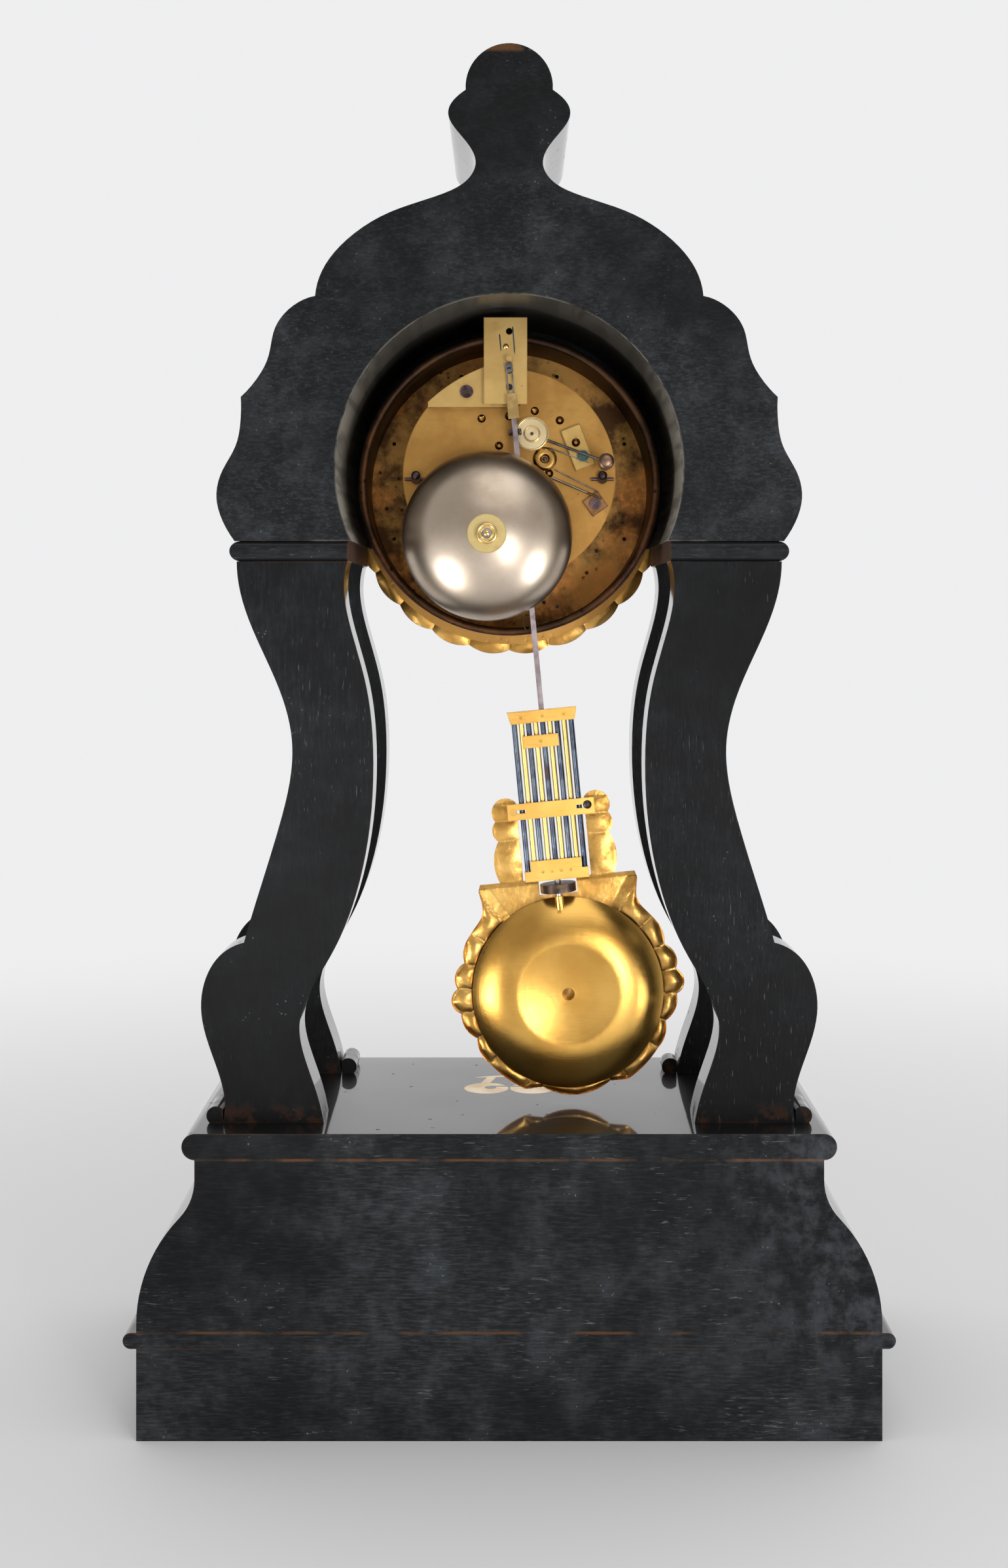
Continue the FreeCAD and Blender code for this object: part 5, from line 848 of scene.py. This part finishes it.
def stamped(points):
    """Leaves pressed into both faces of the surround between their joints, and flutes into its rosette.

    Places are in shares of the dish's radius, across and down from its middle, with its swing taken off.
    A leaf swells round the rim as a half sine and from the dish to the outline as a parabola; an arm
    swells the same way along its height and across its width; what is not swollen is pressed in.
    """
    x, y, z = points.T
    x, z = x - dish_centre[0], z - dish_centre[1]
    across = (x * np.cos(SWING) - z * np.sin(SWING)) / dish_r
    down = -(x * np.sin(SWING) + z * np.cos(SWING)) / dish_r
    reach = np.hypot(across, down)
    angle = np.degrees(np.arctan2(down, np.abs(across)))
    outline = np.interp(angle, station_angle, station_reach)
    leaf = swell(np.interp(angle, LEAF_JOINTS, np.arange(len(LEAF_JOINTS))),
                 (2 * reach - outline - SHELL_RIM) / (outline - SHELL_RIM))
    on_rim = fade_in(reach, RIM_FROM, RIM_FADE) * fade_in(angle, LEAVES_FROM, LEAVES_FADE)
    scroll = swell(np.interp(down, ARM_JOINTS, np.arange(len(ARM_JOINTS))),
                   (np.abs(across) - ARM_MIDDLE) / ARM_HALF)
    on_arm = fade_in(-down, ARM_FROM, ARM_FADE)
    pressed = np.where(on_arm > 0, on_arm * ARM_SHARE * (1 - scroll), on_rim * (1 - leaf))
    flute = 1 - np.abs(np.sin(np.arctan2(down, across) * FLUTES / 2)) ** 0.6
    flute = flute * fade_in(reach, ROSETTE_EYE, EYE_FADE) * fade_in(-reach, -ROSETTE_R, ROSETTE_FADE)
    rear = np.abs(y - SHELL_REAR) < FACE_NEAR
    front = np.abs(y - SHELL_FRONT) < FACE_NEAR
    rosette = y < SHELL_FRONT - FACE_NEAR
    moved = points.copy()
    moved[:, 1] += (front * FRONT_PRESS - rear * REAR_PRESS) * pressed + rosette * flute * FLUTE_DEPTH
    return moved


surround_gilt = stamped_gilt("surround_gilt", dish_centre, dish_r, 0.8)
dress("bob_surround", surround_gilt, stamped, SHELL_SPACING, 40)

# Dial, glass and bezel: a white enamelled disc with black hours and a minute track, on copper feet.
# The bezel is a turned gilt ring with a border of stamped leaves; it is hinged and holds the glass.
dial_low, dial_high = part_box("dial")
dial_r = (dial_high.x - dial_low.x) / 2
TRACK_IN, TRACK_OUT = 0.83, 0.875
TRACK_LINE = 0.0002
enamel = finish("dial_enamel")
craze = enamel.noise(40.0, detail=5.0)
enamel_colour = enamel.mix(craze, (0.86, 0.84, 0.78), (0.8, 0.78, 0.72))
enamel_r = enamel.from_axis(drum_axis)
across, up = enamel.along("X"), enamel.along("Z") - drum_axis[1]
clockwise = enamel.node("Math", {"operation": "ARCTAN2"}, {0: across, 1: up})


def spokes(count, share):
    """1 over a share of each of many equal steps of the angle, centred on the step's start."""
    turns = enamel.node("Math", {"operation": "FRACT"}, {0: clockwise * (count / (2 * pi)) + 0.5})
    return enamel.step(abs(turns - 0.5), share / 2, share / 2 - 0.02)


band = enamel.step(enamel_r, TRACK_IN * dial_r - TRACK_LINE, TRACK_IN * dial_r)
band = band * enamel.step(enamel_r, TRACK_OUT * dial_r + TRACK_LINE, TRACK_OUT * dial_r)
rails = enamel.step(abs(enamel_r - TRACK_IN * dial_r), TRACK_LINE * 1.5, TRACK_LINE * 0.5)
rails = rails + enamel.step(abs(enamel_r - TRACK_OUT * dial_r), TRACK_LINE * 1.5, TRACK_LINE * 0.5)
ink = rails + band * spokes(60, 0.14) + band * spokes(12, 0.06)
front = enamel.step(enamel.facing("Y"), -0.5, -0.9)
enamel_colour = enamel.mix(ink * front, enamel_colour, (0.012, 0.012, 0.014))
finish_node("dial", enamel.paint(Base_Color=enamel_colour, Roughness=0.12, Coat_Weight=0.6,
                                 Coat_Roughness=0.05))

NUMERALS = ("XII", "I", "II", "III", "IIII", "V", "VI", "VII", "VIII", "IX", "X", "XI")
NUMERAL_H = 0.0135
NUMERAL_R = 0.69
NUMERAL_LIFT = 0.00004
ink_black = finish("numeral_ink")
ink_tone = ink_black.noise(400.0)
ink_colour = ink_black.mix(ink_tone, (0.008, 0.008, 0.01), (0.02, 0.02, 0.022))
ink_finish = ink_black.paint(Base_Color=ink_colour, Roughness=0.18 + ink_tone * 0.1)


def numeral(text, hour):
    """Flat letters set upright on the dial's face at their hour, with their feet towards its centre."""
    letters = bpy.data.curves.new("letters", "FONT")
    letters.body = text
    letters.size = NUMERAL_H
    letters.align_x = "CENTER"
    letters.align_y = "CENTER"
    holder = bpy.data.objects.new("letters", letters)
    mesh = bpy.data.meshes.new_from_object(holder)
    bpy.data.objects.remove(holder)
    flat = np.empty(len(mesh.vertices) * 3)
    mesh.vertices.foreach_get("co", flat)
    wide, tall = flat.reshape(-1, 3)[:, 0], flat.reshape(-1, 3)[:, 1] + NUMERAL_R * dial_r
    turn = hour * pi / 6
    depth = np.full_like(wide, dial_low.y - NUMERAL_LIFT)
    points = np.stack([wide * np.cos(turn) + tall * np.sin(turn), depth,
                       drum_axis[1] - wide * np.sin(turn) + tall * np.cos(turn)], axis=-1)
    mesh.vertices.foreach_set("co", points.ravel())
    mesh.materials.clear()
    return mesh


for hour, text in enumerate(NUMERALS):
    add_piece("numeral_" + text, numeral(text, hour), ink_finish, nodes["dial"]["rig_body"], "enamel")

clear = finish("bezel_glass")
smudge = clear.step(clear.noise(60.0, detail=6.0), 0.5, 0.75)
finish_node("bezel_glass", clear.paint(Base_Color=(0.9, 0.94, 0.94), Roughness=0.03 + smudge * 0.12,
                                       Alpha=0.1 + smudge * 0.05))
LEAVES = 24
LEAF_REAR, LEAF_FRONT = -0.0574, -0.0601
LEAF_FOOT, LEAF_MIDDLE, LEAF_HALF = 0.0775, 0.0795, 0.0052
LEAF_REAR_PRESS, LEAF_FRONT_PRESS = 0.0012, 0.0008
HINGE_CLEAR, HINGE_FADE = 0.008, 0.003
LEAF_FADE = 0.001
LEAF_SPACING = 0.0014
BEZEL_FOOT = 0.079


def leaved(points):
    """Leaves pressed into both faces of the bezel's border, away from its hinge.

    Each leaf swells as a half sine round the ring and as a parabola across the border.
    """
    x, y, z = points.T
    z = z - drum_axis[1]
    reach = np.hypot(x, z)
    leaf = swell(np.arctan2(z, x) * LEAVES / (2 * pi), (reach - LEAF_MIDDLE) / LEAF_HALF)
    clear_of_hinge = np.where(x > 0, fade_in(np.abs(z), HINGE_CLEAR, HINGE_FADE), 1)
    pressed = (1 - leaf) * clear_of_hinge * fade_in(reach, LEAF_FOOT, LEAF_FADE)
    rear = np.abs(y - LEAF_REAR) < FACE_NEAR
    front = np.abs(y - LEAF_FRONT) < FACE_NEAR
    moved = points.copy()
    moved[:, 1] += (front * LEAF_FRONT_PRESS - rear * LEAF_REAR_PRESS) * pressed
    return moved


bezel_gilt = stamped_gilt("bezel_gilt", drum_axis, BEZEL_FOOT, 0.3)
dress("bezel", bezel_gilt, leaved, LEAF_SPACING, 40)

# Stage: a pale floor that fades into a pale room, and keeps the clock's shadow.
# Two small panels and a window stand low at either side behind the clock, with a wide soft light above.
PALE = (0.86, 0.86, 0.87)
ROOM = (0.46, 0.44, 0.42)
FLOOR_HALF = 8.0
FADE_FROM, FADE_TO = 0.35, 1.3
floor_mesh = bpy.data.meshes.new("floor")
corners = [(-FLOOR_HALF, -FLOOR_HALF, 0), (FLOOR_HALF, -FLOOR_HALF, 0), (FLOOR_HALF, FLOOR_HALF, 0),
           (-FLOOR_HALF, FLOOR_HALF, 0)]
floor_mesh.from_pydata(corners, [], [(0, 1, 2, 3)])
floor = bpy.data.objects.new("floor", floor_mesh)
bpy.context.scene.collection.objects.link(floor)
ground = finish("floor_pale")
ground.paint(Base_Color=PALE, Roughness=0.9)
seen = ground.node("LightPath", {}, {}, "Is Camera Ray") + ground.node("LightPath", {}, {}, "Is Glossy Ray")
seen = seen + ground.node("LightPath", {}, {}, "Is Transmission Ray")
away = (ground.along("X") * ground.along("X") + ground.along("Y") * ground.along("Y")) ** 0.5
fade = ground.step(away, FADE_FROM, FADE_TO) * seen
glow = ground.node("Emission", {}, {"Color": PALE, "Strength": 1.0})
matte = Value(ground.tree, ground.tree.nodes["Principled BSDF"].outputs[0])
ground_mix = ground.node("MixShader", {}, {0: fade, 1: matte, 2: glow})
ground.plug(ground.tree.nodes["Material Output"].inputs["Surface"], ground_mix)
floor_mesh.materials.append(ground.owner)

world = bpy.data.worlds.new("room")
bpy.context.scene.world = world
sky = Finish(world)
behind = sky.node("SeparateXYZ", {}, {0: sky.node("TexCoord", {}, {}, "Generated")}, "Y")
room = sky.mix(sky.step(behind, -0.2, 0.7), PALE, ROOM)
camera_ray = sky.node("LightPath", {}, {}, "Is Camera Ray")
sky.plug(sky.tree.nodes["Background"].inputs["Color"], sky.mix(camera_ray, room, PALE))


def window(name, place, aim, width, height, power, spread=180):
    """A rectangular lamp at a place, turned to its aim and unseen by the camera."""
    lamp = bpy.data.lights.new(name, "AREA")
    lamp.shape = "RECTANGLE"
    lamp.size = width
    lamp.size_y = height
    lamp.energy = power
    lamp.spread = radians(spread)
    holder = bpy.data.objects.new(name, lamp)
    holder.visible_camera = False
    holder.location = place
    holder.rotation_euler = (Vector(aim) - Vector(place)).to_track_quat("-Z", "Y").to_euler()
    bpy.context.scene.collection.objects.link(holder)


middle = (0.0, 0.0, 0.3)
bell_height = (0.0, 0.0, 0.36)
window("left_panel", (0.25, 0.27, 0.16), bell_height, 0.12, 0.16, 0.12, 62)
window("right_panel", (-0.36, 0.29, 0.16), bell_height, 0.1, 0.2, 0.12, 62)
window("side_window", (-0.3, 0.98, 0.2), middle, 0.16, 0.34, 1.8)
window("top_light", (-0.3, 1.0, 1.5), middle, 1.2, 1.2, 4.5)

# Camera: level, behind the clock, at the height of the lowest part of the drum.
# Its shift puts the horizon above the middle of the picture.
PHOTO_W, PHOTO_H = 1540, 2396
FOCAL_PX = 3018.0
HORIZON_PX = (778.0, 930.0)
CAMERA_PLACE = (0.0, 0.9929, 0.3794)
camera_data = bpy.data.cameras.new("camera")
camera_data.sensor_width = 36.0
camera_data.lens = FOCAL_PX / PHOTO_H * camera_data.sensor_width
camera_data.shift_x = (PHOTO_W / 2 - HORIZON_PX[0]) / PHOTO_H
camera_data.shift_y = (HORIZON_PX[1] - PHOTO_H / 2) / PHOTO_H
camera_data.clip_start = 0.01
camera = bpy.data.objects.new("camera", camera_data)
camera.location = CAMERA_PLACE
camera.rotation_euler = (pi / 2, 0.0, pi)
bpy.context.scene.collection.objects.link(camera)
bpy.context.scene.camera = camera
bpy.context.scene.view_settings.view_transform = "Standard"
